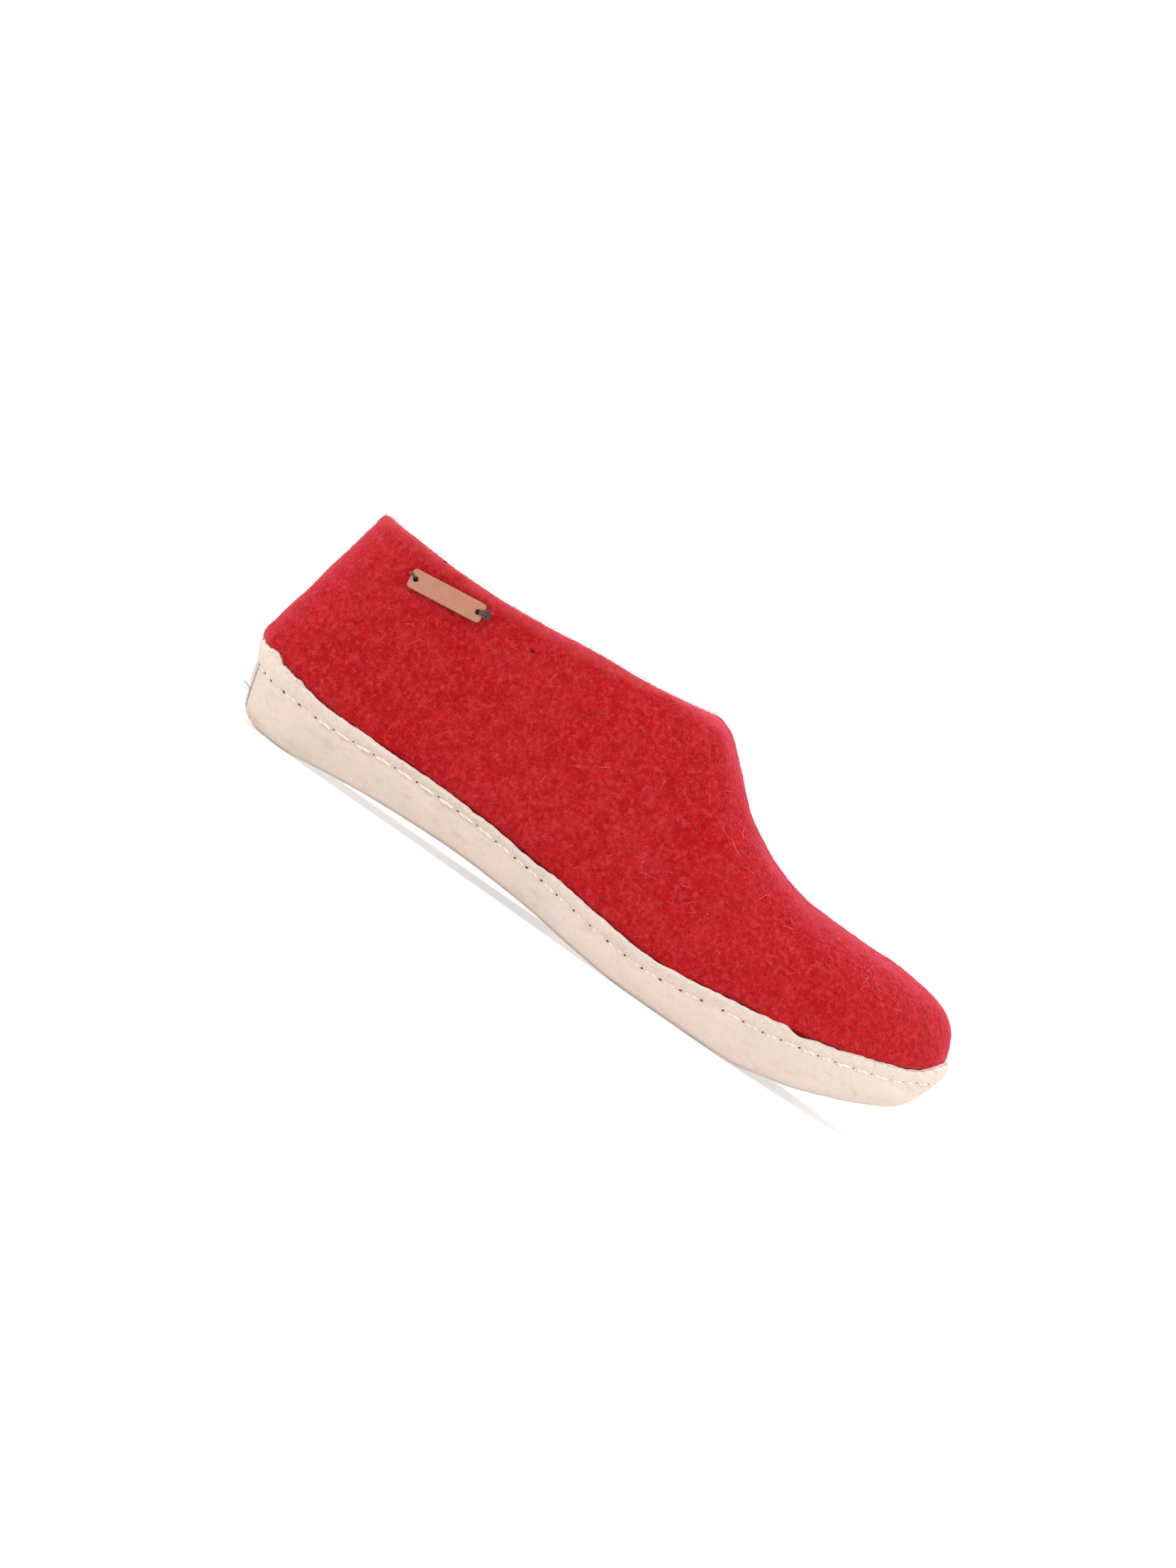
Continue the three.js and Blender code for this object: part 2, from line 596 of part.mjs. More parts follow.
const shoe = new THREE.Group();
shoe.add(body);

export default shoe;
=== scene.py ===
"""A red wool felt house shoe on a cream suede cup sole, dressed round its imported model.

The row frame: metres, +X to the toe, +Y to the inner side of the foot, +Z up, the floor at Z = 0.
Places on the shoe are given as in its drawing: millimetres from the back of the heel, and above the floor.
"""

import math
import random

import bmesh
import bpy
import numpy as np
from mathutils import Matrix, Vector, noise
from mathutils.bvhtree import BVHTree
from mathutils.kdtree import KDTree


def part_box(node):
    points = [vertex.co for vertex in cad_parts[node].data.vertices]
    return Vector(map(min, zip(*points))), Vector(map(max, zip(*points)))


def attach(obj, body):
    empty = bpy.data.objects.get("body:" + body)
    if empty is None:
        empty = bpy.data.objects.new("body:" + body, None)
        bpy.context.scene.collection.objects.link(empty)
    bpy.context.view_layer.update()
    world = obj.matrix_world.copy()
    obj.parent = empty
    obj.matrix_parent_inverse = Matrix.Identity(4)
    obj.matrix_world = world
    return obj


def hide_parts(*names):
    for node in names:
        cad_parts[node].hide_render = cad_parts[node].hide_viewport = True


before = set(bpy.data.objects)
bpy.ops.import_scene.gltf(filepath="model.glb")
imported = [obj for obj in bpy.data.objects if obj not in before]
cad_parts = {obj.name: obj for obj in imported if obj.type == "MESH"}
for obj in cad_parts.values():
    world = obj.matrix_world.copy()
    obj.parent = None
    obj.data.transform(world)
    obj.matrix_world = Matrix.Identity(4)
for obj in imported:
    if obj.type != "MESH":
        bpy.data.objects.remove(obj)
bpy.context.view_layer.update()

MM = 0.001
WELD = 0.002 * MM

# The shoe's own sizes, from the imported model
SOLE_LOW, SOLE_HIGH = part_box("sole")
HEEL_X = SOLE_LOW.x
LENGTH = SOLE_HIGH.x - SOLE_LOW.x
OUTER_SIDE = Vector((0, -1, 0))
INNER_SIDE = Vector((0, 1, 0))


def table(columns, *rows):
    """Rows of values under the names of their columns."""
    return [dict(zip(columns.split(), row)) for row in rows]


# The camera
PHOTO_HEIGHT = 2212  # pixels
PIXEL = 0.23504 * MM  # in the shoe's middle plane
CAMERA_DISTANCE = 2.0
CAMERA_ELEVATION = math.radians(1.2)
CAMERA_ROLL = math.radians(34.8)
CAMERA_TARGET = Vector((-0.0171, 0, 0.0475))
SENSOR = 36

RAY_START = 0.2  # how far off a line starts that looks for a surface

# The seam round the sole, in mm, by place: how far it lies below the lip's edge, the needle's step,
# how far the thread stands out and how wide the holes are
SEAM_PLACES = table(
    "x drop step proud hole",
    (0, 7.4, 6.0, -0.4, 0.8),
    (12, 6.9, 6.2, -0.45, 1.2),
    (24, 5.4, 7.0, -0.4, 1.2),
    (32, 4.6, 7.5, 0.2, 1.0),
    (43, 3.8, 8.2, 0.25, 0.8),
    (67, 2.9, 8.6, 0.15, 0.9),
    (94, 2.65, 8.2, 0.0, 0.8),
    (120, 3.1, 7.2, -0.38, 1.1),
    (147, 4.2, 7.5, -0.46, 1.1),
    (163, 4.0, 7.2, -0.44, 1.1),
    (177, 3.8, 7.5, -0.44, 1.1),
    (204, 4.25, 7.6, -0.4, 1.0),
    (228, 3.7, 6.5, -0.15, 0.9),
    (241, 3.85, 6.3, 0.05, 0.7),
    (255, 4.5, 6.0, -0.1, 0.7),
    (268, 4.4, 5.6, -0.15, 0.7),
)
# Where the needle's holes of the outer side are seen against the middle plane, in mm from the heel
OUTER_HOLES = [10.8, 16.5, 23.2, 30.0, 37.3, 45.0, 53.0, 61.3, 70.0, 78.6, 86.5, 94.5, 102.7, 110.9, 116.0]
OUTER_HOLES += [122.4, 129.3, 136.9, 144.3, 151.8, 159.4, 166.3, 173.6, 181.2, 188.7, 196.5, 204.2, 211.5]
OUTER_HOLES += [217.9, 224.5, 231.0, 237.0, 243.2, 249.2, 255.5]
LIP_CROWN = 0.4  # how far the lip's top stands above its edge
HEEL_FOOT = 7.0  # the reach of the round at the heel's lower edge
TOE_SWELL = 2.2  # how far the suede swells out below the lip at the toe's tip
TOE_SWELL_HEIGHT = 32
STITCH_THREAD = 1.2  # across

# The suede's lap at the heel, in mm from the heel and above the floor, and the threads that hang
# loose from it: share of the way down, length in mm, and how far they turn up
LAP_LINE = [(5.9, 17.5), (7.2, 13.0), (9.0, 6.4), (9.9, 4.4)]
LOOSE_THREADS = [(0.6, 3.8, 0.3), (0.63, 3.4, 0.1), (0.58, 3.3, 0.5)]

# The tag and its threads, in mm
TAG_HOLE_INSET = 2.0
TAG_THREAD = 0.5  # across

# The felt's reds, from its pits to its palest fibres
FELT_TONES = [(144, 17, 21), (170, 21, 23), (174, 27, 28), (190, 54, 59), (210, 88, 95)]

# How many loose fibres and specks there are
FUZZ_STRANDS = 7200  # in each of the two pieces outside
LINING_STRANDS = 3600
NAP_STRANDS = 9000
FRAY_STRANDS = 90
PALE_HAIRS = 38
PALE_SPECKS = 14

# Soft troughs, with a positive depth, and ridges, with a negative one, in mm. Each runs through
# places on the felt of one side: x from the heel and z above the floor on the outer and inner sides,
# x and y on the top, and y and z on the heel.
FELT_CREASES = table(
    "side path depth width",
    ("outer", [(166, 66), (162, 55), (158, 42), (155, 30)], 0.8, 9),
    ("inner", [(164, 62), (161, 52), (157, 40), (155, 30)], 0.5, 10),
    ("both", [(178, 58), (172, 46), (170, 34)], -0.5, 7),
    ("outer", [(132, 52), (140, 44), (147, 33)], 0.6, 6),
    ("outer", [(118, 74), (128, 68), (140, 66)], 0.5, 8),
    ("inner", [(120, 66), (132, 58), (144, 56)], 0.4, 10),
    ("outer", [(196, 50), (208, 44), (222, 42)], -0.5, 8),
    ("outer", [(24, 36), (34, 44), (40, 56)], 0.6, 9),
    ("inner", [(22, 38), (30, 48), (36, 60)], 0.5, 9),
    ("both", [(62, 30), (84, 33), (104, 30)], -0.5, 7),
    ("inner", [(196, 46), (210, 44), (226, 40)], 0.5, 9),
    ("outer", [(92, 62), (98, 50), (100, 38)], 0.4, 8),
    ("inner", [(90, 64), (98, 48), (104, 36)], 0.5, 8),
    ("top", [(237, 4), (255, 6)], -1.0, 12),
    ("top", [(167, -10), (165, 0), (167, 10)], 1.0, 8),
    ("heel", [(-18, 27.5), (0, 28), (18, 27.5)], -0.9, 3),
    ("heel", [(-18, 35), (0, 36), (18, 35)], -0.7, 11),
)

# Where the lip's cut edge is uneven: mm from the heel, how far up and out it goes, over which width
LIP_BUMPS = table(
    "side x up out width",
    ("outer", 1.0, -0.9, -0.4, 2.2),
    ("outer", 4.2, -0.6, -0.2, 1.6),
    ("outer", 9.2, 1.4, 0.3, 1.9),
    ("outer", 13.0, -0.3, 0.0, 2.0),
    ("outer", 46, 0.4, 0.1, 5),
    ("outer", 113, -0.4, 0.0, 6),
    ("outer", 178, 0.4, 0.1, 6),
    ("outer", 208, 0.6, 0.3, 3.2),
    ("outer", 214, 1.0, 0.35, 2.6),
    ("outer", 220, -0.6, 0.1, 2.4),
    ("outer", 240, 0.4, 0.2, 4),
    ("inner", 60, 0.5, 0.1, 5),
    ("inner", 150, -0.4, 0.0, 7),
    ("inner", 204, 0.7, 0.4, 3),
    ("outer", 269, 1.7, 0.0, 6),
    ("inner", 269, 1.7, 0.0, 6),
)

# Single long fibres that catch the light on the outer side: place, length and direction up from +X
BRIGHT_HAIRS = table(
    "x z length turn",
    (44.2, 54.3, 4.2, 54),
    (39.5, 57.5, 3.0, 20),
    (88.0, 70.5, 3.4, 80),
    (137.0, 62.0, 3.8, 100),
    (152.0, 66.5, 3.6, 120),
    (163.0, 61.0, 6.0, 160),
    (168.0, 59.0, 6.5, 148),
    (176.5, 55.0, 4.0, 170),
    (185.0, 50.5, 5.0, 60),
    (197.0, 47.0, 4.5, 15),
    (118.0, 56.0, 4.0, 35),
    (104.0, 41.0, 3.2, 95),
)
LIGHT_SPECKS = [(82.3, 72.0), (184.7, 52.7), (179.6, 37.0), (158.4, 68.1), (134.5, 27.5), (171.0, 49.0)]
LIGHT_SPECKS += [(60.0, 47.0), (118.5, 24.5)]

# Where short paler fibres gather on the outer side: the middle, how far they spread along and across,
# how the band slopes, and how many there are
FIBRE_BANDS = table(
    "x z along across slope count",
    (168, 66, 15, 4.5, -0.58, 34),
    (230, 47, 12, 3.0, -0.3, 22),
    (150, 35, 22, 9.0, 0.0, 16),
)


def shoe_x(x):
    """The row's X of a place that is x mm from the back of the heel."""
    return HEEL_X + x * MM


def from_heel(x):
    """How far a place at the row's X is from the back of the heel, in mm."""
    return (x - HEEL_X) / MM


def at_seam(column, x):
    """A value of the seam's table at the row's X."""
    return np.interp(from_heel(x), [row["x"] for row in SEAM_PLACES], [row[column] for row in SEAM_PLACES])


def smooth(t):
    """0 to 1 with soft ends."""
    t = np.clip(t, 0, 1)
    return t * t * (3 - 2 * t)


# Meshes


def coordinates(mesh):
    co = np.empty(len(mesh.vertices) * 3)
    mesh.vertices.foreach_get("co", co)
    return co.reshape(-1, 3)


def normals_of(mesh):
    directions = np.empty(len(mesh.vertices) * 3)
    mesh.vertex_normals.foreach_get("vector", directions)
    return directions.reshape(-1, 3)


def set_coordinates(mesh, co):
    mesh.vertices.foreach_set("co", np.asarray(co, np.float32).ravel())
    mesh.update()


def point_value(mesh, name, values):
    """Stores one number for each point of a mesh, for its material to read."""
    attribute = mesh.attributes.new(name, "FLOAT", "POINT")
    attribute.data.foreach_set("value", np.asarray(values, np.float32))


def new_object(name, mesh, material):
    obj = bpy.data.objects.new(name, mesh)
    bpy.context.scene.collection.objects.link(obj)
    mesh.materials.clear()
    mesh.materials.append(material)
    mesh.polygons.foreach_set("use_smooth", [True] * len(mesh.polygons))
    mesh.update()
    return obj


def evaluated_mesh(obj):
    bpy.context.view_layer.update()
    depsgraph = bpy.context.evaluated_depsgraph_get()
    return bpy.data.meshes.new_from_object(obj.evaluated_get(depsgraph))


def apply_modifiers(obj):
    made = evaluated_mesh(obj)
    obj.modifiers.clear()
    obj.data = made
    return obj


def copy_of(node, name, material):
    """A piece with the form of a CAD solid, welded, and with its triangles joined to quads."""
    bm = bmesh.new()
    bm.from_mesh(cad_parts[node].data)
    bmesh.ops.remove_doubles(bm, verts=bm.verts, dist=WELD)
    widest = math.radians(70)
    bmesh.ops.join_triangles(
        bm, faces=bm.faces, angle_face_threshold=widest, angle_shape_threshold=widest
    )
    mesh = bpy.data.meshes.new(name)
    bm.to_mesh(mesh)
    bm.free()
    return new_object(name, mesh, material)


def rounded(obj, levels):
    """Subdivides a piece to a round surface that still passes through the corners it had."""
    corners = coordinates(obj.data)
    control = corners.copy()
    modifier = obj.modifiers.new("round", "SUBSURF")
    modifier.levels = 1
    modifier.render_levels = 1
    for _ in range(3):
        reached = evaluated_mesh(obj)
        control += corners - coordinates(reached)[: len(corners)]
        bpy.data.meshes.remove(reached)
        set_coordinates(obj.data, control)
    modifier.levels = levels
    return apply_modifiers(obj)


def tree_of(obj):
    """What finds the near and far points of a piece's surface."""
    mesh = obj.data
    mesh.calc_loop_triangles()
    corners = [tuple(v.co) for v in mesh.vertices]
    return BVHTree.FromPolygons(corners, [tuple(t.vertices) for t in mesh.loop_triangles])


def seen_from_side(tree, x, z, side=OUTER_SIDE):
    """The point and normal of a surface at a place, looking at the shoe from one side."""
    start = Vector((shoe_x(x), 0, z * MM)) + side * RAY_START
    point, normal, _, _ = tree.ray_cast(start, -side)
    return point, normal


def lumps(co, wavelength, seed, octaves=1):
    """Smooth noise from -1 to 1 at each point. wavelength is in mm."""
    scale = 1 / (wavelength * MM)
    shift = Vector((17.3 * seed, 5.1 * seed, 31.7 * seed))
    values = []
    for p in co:
        q = Vector(p) * scale + shift
        values.append(noise.fractal(q, 0.7, 2.0, octaves, noise_basis="PERLIN_ORIGINAL"))
    return np.array(values)


def distance_to_path(co, path):
    """How far each point lies from a line through the points of a path."""
    nearest = np.full(len(co), np.inf)
    for a, b in zip(path, path[1:]):
        a, b = np.array(a), np.array(b)
        along = b - a
        share = np.clip((co - a) @ along / (along @ along), 0, 1)
        nearest = np.minimum(nearest, np.linalg.norm(co - a - share[:, None] * along, axis=1))
    return nearest


def nearest_of(points):
    """What finds the nearest of some points."""
    tree = KDTree(len(points))
    for i, point in enumerate(points):
        tree.insert(point, i)
    tree.balance()
    return tree


def near_points(points, co):
    """The distance from each of co to the nearest of some points, in mm."""
    tree = nearest_of(points)
    return np.array([tree.find(p)[2] for p in co]) / MM


def softened(piece, weights, rounds):
    """Smooths a piece where the weights are high."""
    group = piece.vertex_groups.new(name="soft")
    for i in np.nonzero(weights > 0.01)[0]:
        group.add([int(i)], float(weights[i]), "REPLACE")
    modifier = piece.modifiers.new("soften", "SMOOTH")
    modifier.factor = 0.5
    modifier.iterations = rounds
    modifier.vertex_group = "soft"
    return apply_modifiers(piece)


# Materials


def linear(red, green, blue):
    """A colour of 0 to 255 a channel, as the shaders want it."""
    out = []
    for channel in (red, green, blue):
        c = channel / 255
        out.append(c / 12.92 if c <= 0.04045 else ((c + 0.055) / 1.055) ** 2.4)
    return (*out, 1)


class Finish:
    """A material with short ways to add its nodes."""

    def __init__(self, name, **principled):
        self.material = bpy.data.materials.new(name)
        self.material.use_nodes = True
        self.tree = self.material.node_tree
        self.tree.nodes.clear()
        output = self.tree.nodes.new("ShaderNodeOutputMaterial")
        self.shader = self.tree.nodes.new("ShaderNodeBsdfPrincipled")
        self.tree.links.new(self.shader.outputs[0], output.inputs["Surface"])
        for socket, value in principled.items():
            self.shader.inputs[socket.replace("_", " ")].default_value = value
        coordinate = self.tree.nodes.new("ShaderNodeTexCoord").outputs["Object"]
        self.mm = self.node("ShaderNodeVectorMath", coordinate, Scale=1 / MM, operation="SCALE")

    def node(self, kind, *values, out=0, **named):
        """Adds a node. values fill its inputs in order, and named ones its inputs or settings."""
        made = self.tree.nodes.new(kind)
        for key, value in named.items():
            if hasattr(made, key):
                setattr(made, key, value)
        pairs = list(enumerate(values))
        pairs += [(k.replace("_", " "), v) for k, v in named.items() if not hasattr(made, k)]
        for key, value in pairs:
            if value is None:
                continue
            if isinstance(value, bpy.types.NodeSocket):
                self.tree.links.new(value, made.inputs[key])
            else:
                made.inputs[key].default_value = value
        return made.outputs[out]

    def shifted(self, x, y, z):
        """The surface's place, moved, so that two patterns don't match."""
        return self.node("ShaderNodeVectorMath", self.mm, (x, y, z), operation="ADD")

    def noise(self, wavelength, detail=2.0, roughness=0.5, at=None, distortion=0.0):
        at = self.mm if at is None else at
        return self.node(
            "ShaderNodeTexNoise",
            Vector=at,
            Scale=1 / wavelength,
            Detail=detail,
            Roughness=roughness,
            Distortion=distortion,
        )

    def math(self, operation, a, b=None, c=None):
        return self.node("ShaderNodeMath", a, b, c, operation=operation)

    def span(self, value, low, high, to_low=0.0, to_high=1.0):
        """Maps a value from low to high on to another range, with soft ends."""
        return self.node(
            "ShaderNodeMapRange",
            Value=value,
            From_Min=low,
            From_Max=high,
            To_Min=to_low,
            To_Max=to_high,
            interpolation_type="SMOOTHSTEP",
        )

    def value_of(self, attribute):
        return self.node("ShaderNodeAttribute", attribute_name=attribute, out="Fac")

    def mixed(self, share, a, b):
        """The colour between a and b."""
        made = self.tree.nodes.new("ShaderNodeMix")
        made.data_type = "RGBA"
        for key, value in ((0, share), (6, a), (7, b)):
            if isinstance(value, bpy.types.NodeSocket):
                self.tree.links.new(value, made.inputs[key])
            else:
                made.inputs[key].default_value = value
        return made.outputs[2]

    def fibre_lines(self, wavelength, width, seed):
        """Thin curly lines, broken into lengths, as of single fibres."""
        at = self.shifted(13.0 * seed, 7.0 * seed, 29.0 * seed)
        wander = self.noise(wavelength, detail=1.5, roughness=0.4, at=at, distortion=0.3)
        off = self.math("ABSOLUTE", self.math("SUBTRACT", wander, 0.5))
        line = self.span(off, 0.0, width, 1.0, 0.0)
        broken = self.span(self.noise(wavelength * 0.8, at=at), 0.42, 0.56)
        return self.math("MULTIPLY", line, broken)

    def bump(self, height, distance):
        """Raises the surface by a height, in mm."""
        made = self.tree.nodes.new("ShaderNodeBump")
        made.inputs["Distance"].default_value = distance * MM
        made.inputs["Strength"].default_value = 1.0
        self.tree.links.new(height, made.inputs["Height"])
        self.tree.links.new(made.outputs[0], self.shader.inputs["Normal"])

    def colour(self, colour):
        self.tree.links.new(colour, self.shader.inputs["Base Color"])


def felt_finish(name, shade=1.0):
    """Pressed wool: mottled reds, small darker pits, paler fibres lying over them every way, a paler cut rim,
    and a painted shadow just above the sole's lip.
    """
    finish = Finish(
        name,
        Roughness=1.0,
        Specular_IOR_Level=0.0,
        Sheen_Weight=1.0,
        Sheen_Roughness=0.36,
        Sheen_Tint=linear(255, 118, 140),
    )
    deep, red, warm, light, pale = (linear(*(c * shade for c in tone)) for tone in FELT_TONES)
    patches = finish.span(finish.noise(26, detail=1.0), 0.35, 0.65)
    base = finish.mixed(patches, red, warm)
    clouds = finish.noise(6.0, detail=2.0, at=finish.shifted(5, 22, 61))
    base = finish.mixed(finish.span(clouds, 0.48, 0.68, 0.0, 0.2), base, light)
    base = finish.mixed(finish.span(clouds, 0.48, 0.32, 0.0, 0.18), base, deep)
    clumps = finish.noise(1.8, detail=2.5, roughness=0.55, distortion=0.4)
    base = finish.mixed(finish.span(clumps, 0.5, 0.34, 0.0, 0.6), base, deep)
    base = finish.mixed(finish.span(clumps, 0.52, 0.7, 0.0, 0.62), base, light)
    pits = finish.node("ShaderNodeTexVoronoi", Vector=finish.shifted(40, 3, 9), Scale=1 / 1.7, Randomness=1.0)
    sparse = finish.span(finish.noise(4.0, detail=1.0, at=finish.shifted(8, 60, 2)), 0.42, 0.6)
    pits = finish.math("MULTIPLY", finish.span(pits, 0.32, 0.08), sparse)
    base = finish.mixed(finish.math("MULTIPLY", pits, 0.55), base, deep)
    wide = finish.fibre_lines(4.2, 0.02, 1)
    fine = finish.fibre_lines(2.4, 0.03, 2)
    finest = finish.fibre_lines(1.5, 0.04, 3)
    fibres = finish.math("MAXIMUM", finish.math("MAXIMUM", wide, fine), finest)
    base = finish.mixed(finish.math("MULTIPLY", fibres, 0.24), base, pale)
    cut = finish.math("MULTIPLY", finish.value_of("rim"), 0.4)
    base = finish.mixed(cut, base, pale)
    # Painted shadow: the felt turns dark red just above the sole's lip, where the lip shades it.
    shade_of_lip = finish.math("MULTIPLY", finish.value_of("seat"), 0.75)
    finish.colour(finish.mixed(shade_of_lip, base, linear(96, 10, 14)))
    height = finish.math("MULTIPLY_ADD", fibres, 0.3, clumps)
    height = finish.math("MULTIPLY_ADD", pits, -0.3, height)
    finish.bump(height, 0.32)
    return finish.material


def fibre_finish(name, dark, light, sheen=0.0):
    """Loose fibres, each with a tone of its own."""
    finish = Finish(
        name,
        Roughness=1.0,
        Specular_IOR_Level=0.0,
        Sheen_Weight=sheen,
        Sheen_Roughness=0.5,
        Sheen_Tint=linear(255, 110, 134),
    )
    finish.colour(finish.mixed(finish.value_of("tone"), dark, light))
    return finish.material


def suede_finish(name):
    """Cream suede: a short nap brushed both ways, pinker patches, a painted shade along its lower edge, and a
    pale lip edge with a painted highlight.
    """
    finish = Finish(
        name,
        Roughness=0.96,
        Specular_IOR_Level=0.12,
        Sheen_Weight=0.2,
        Sheen_Roughness=0.5,
        Sheen_Tint=linear(255, 240, 225),
    )
    cream = linear(211, 197, 183)
    pink = linear(219, 199, 188)
    grey = linear(193, 180, 165)
    stretched = finish.node("ShaderNodeVectorMath", finish.mm, (0.45, 0.45, 1.2), operation="MULTIPLY")
    patches = finish.span(finish.noise(16, detail=3.0, at=stretched), 0.38, 0.62)
    base = finish.mixed(patches, cream, pink)
    brushed = finish.noise(5.0, detail=4.0, roughness=0.65, at=stretched)
    base = finish.mixed(finish.span(brushed, 0.5, 0.3, 0.0, 0.6), base, grey)
    nap = finish.noise(0.7, detail=3.0, roughness=0.7)
    base = finish.mixed(finish.span(nap, 0.48, 0.3, 0.0, 0.45), base, grey)
    # Painted shade along the foot of the suede side, patchy with the brushed nap.
    lower_edge_shade = finish.math("MULTIPLY", finish.value_of("tread_edge"), finish.span(brushed, 0.3, 0.6, 0.25, 0.7))
    base = finish.mixed(lower_edge_shade, base, linear(150, 134, 132))
    speckle = finish.noise(1.3, detail=3.0, roughness=0.7, at=finish.shifted(9, 4, 77))
    speckle = finish.span(speckle, 0.35, 0.6)
    strip = finish.mixed(speckle, linear(198, 188, 171), linear(220, 207, 193))
    base = finish.mixed(finish.math("MULTIPLY", finish.value_of("strip"), 0.45), base, strip)
    # The lip's cut edge: paler suede, partly a painted highlight.
    finish.colour(finish.mixed(finish.value_of("pale_and_highlit_edge"), base, linear(240, 229, 218)))
    height = finish.math("MULTIPLY_ADD", brushed, 1.2, finish.math("MULTIPLY", nap, 0.5))
    finish.bump(height, 0.22)
    return finish.material


def leather_finish(name):
    """Thin vegetable-tanned leather, darker where its edges are cut and burnished."""
    finish = Finish(name, Roughness=0.62, Specular_IOR_Level=0.35)
    tan = linear(174, 127, 98)
    rosy = linear(182, 118, 98)
    edge = linear(112, 66, 50)
    base = finish.mixed(finish.span(finish.noise(4.0, detail=3.0), 0.35, 0.65), tan, rosy)
    pores = finish.noise(0.45, detail=2.0, roughness=0.6)
    base = finish.mixed(finish.span(pores, 0.44, 0.3, 0.0, 0.35), base, edge)
    finish.colour(finish.mixed(finish.value_of("cut_edge"), base, edge))
    finish.bump(pores, 0.06)
    return finish.material


def thread_finish(name, light, dark):
    """Spun thread: fine fibres, with painted shade between its plies."""
    finish = Finish(name, Roughness=0.85, Specular_IOR_Level=0.25, Sheen_Weight=0.2)
    hair = finish.noise(0.35, detail=3.0, roughness=0.7)
    base = finish.mixed(finish.span(hair, 0.5, 0.32, 0.0, 0.6), light, dark)
    # Painted shade: the grooves between the plies take the dark colour.
    finish.colour(finish.mixed(finish.value_of("groove"), base, dark))
    finish.bump(hair, 0.08)
    return finish.material


def plain_finish(name, colour, other):
    """Small dark marks, uneven in tone: plant matter, and the painted shade of needle holes."""
    finish = Finish(name, Roughness=0.9, Specular_IOR_Level=0.15)
    finish.colour(finish.mixed(finish.span(finish.noise(0.6, detail=2.0), 0.35, 0.65), colour, other))
    return finish.material


# The felt upper


def outward_of(co, normals):
    """For each point of the upper, the direction from the foot out through the wall."""
    middle = np.stack(
        [
            np.clip(co[:, 0], shoe_x(40), shoe_x(225)),
            np.zeros(len(co)),
            np.full(len(co), 38 * MM),
        ],
        axis=1,
    )
    away = co - middle
    away /= np.maximum(np.linalg.norm(away, axis=1), 1e-9)[:, None]
    share = np.clip((normals * away).sum(1) * 3, -1, 1)
    return normals * share[:, None], share


def rim_line(co):
    """Points along the top of the collar's rim: the highest point in each direction from its middle."""
    sectors = 90
    middle = np.array([shoe_x(76), 0])
    angle = np.arctan2(co[:, 1] - middle[1], co[:, 0] - middle[0])
    sector = ((angle / (2 * math.pi) + 0.5) * sectors).astype(int) % sectors
    points = []
    for i in range(sectors):
        here = np.where(sector == i)[0]
        points.append(co[here[np.argmax(co[here, 2])]])
    return np.array(points)


def creased(co, outward, tree):
    """Sinks the troughs and raises the ridges of FELT_CREASES in the felt's wall."""
    moved = co.copy()
    for crease in FELT_CREASES:
        for side in ["outer", "inner"] if crease["side"] == "both" else [crease["side"]]:
            path = []
            for a, b in crease["path"]:
                if side == "top":
                    start, way = Vector((shoe_x(a), b * MM, 0.2)), Vector((0, 0, -1))
                elif side == "heel":
                    start, way = Vector((HEEL_X - 0.1, a * MM, b * MM)), Vector((1, 0, 0))
                else:
                    way = -OUTER_SIDE if side == "outer" else -INNER_SIDE
                    start = Vector((shoe_x(a), 0, b * MM)) - way * RAY_START
                point = tree.ray_cast(start, way)[0]
                if point is not None:
                    path.append(point)
            share = distance_to_path(co, path) / (crease["width"] * MM)
            moved -= outward * (crease["depth"] * MM * np.exp(-(share**2)))[:, None]
    return moved


def felt_upper(lip_height):
    piece = rounded(copy_of("upper", "felt_upper", felt_finish("wool_felt")), 2)
    from_rim = near_points(rim_line(coordinates(piece.data)), coordinates(piece.data))
    softened(piece, 1 - smooth((from_rim - 2) / 6), 7)
    mesh = piece.data
    co = coordinates(mesh)
    outward, _ = outward_of(co, normals_of(mesh))
    seat = smooth((co[:, 2] / MM - 14) / 20)
    co = creased(co, outward, tree_of(piece))
    from_rim = near_points(rim_line(co), co)
    height = 0.28 * lumps(co, 15, 1) + 0.16 * lumps(co, 6, 2) + 0.05 * lumps(co, 3, 3)
    height *= 0.35 + 0.65 * smooth(from_rim / 12)
    co += outward * (height * seat * MM)[:, None]
    set_coordinates(mesh, co)
    point_value(mesh, "rim", 1 - smooth((from_rim - 1.5) / 4.0))
    # Painted shadow: seat darkens the felt just above the sole's lip, more weakly towards the heel.
    above_lip = (co[:, 2] - lip_height(co)) / MM
    dark = 0.35 + 0.65 * smooth((from_heel(co[:, 0]) - 15) / 25)
    point_value(mesh, "seat", dark * (1 - smooth((above_lip + 0.3) / 1.5)))
    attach(piece, "root")
    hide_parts("upper")
    return piece


def felt_insole():
    piece = rounded(copy_of("insole", "felt_insole", felt_finish("insole_felt", 0.93)), 2)
    mesh = piece.data
    co = coordinates(mesh)
    up = np.clip(normals_of(mesh)[:, 2], 0, 1)
    co[:, 2] += up * (0.25 * lumps(co, 18, 5) + 0.08 * lumps(co, 5, 6)) * MM
    set_coordinates(mesh, co)
    point_value(mesh, "rim", np.zeros(len(co)))
    point_value(mesh, "seat", np.zeros(len(co)))
    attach(piece, "root")
    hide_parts("insole")
    return piece


# The suede cup sole and its seam


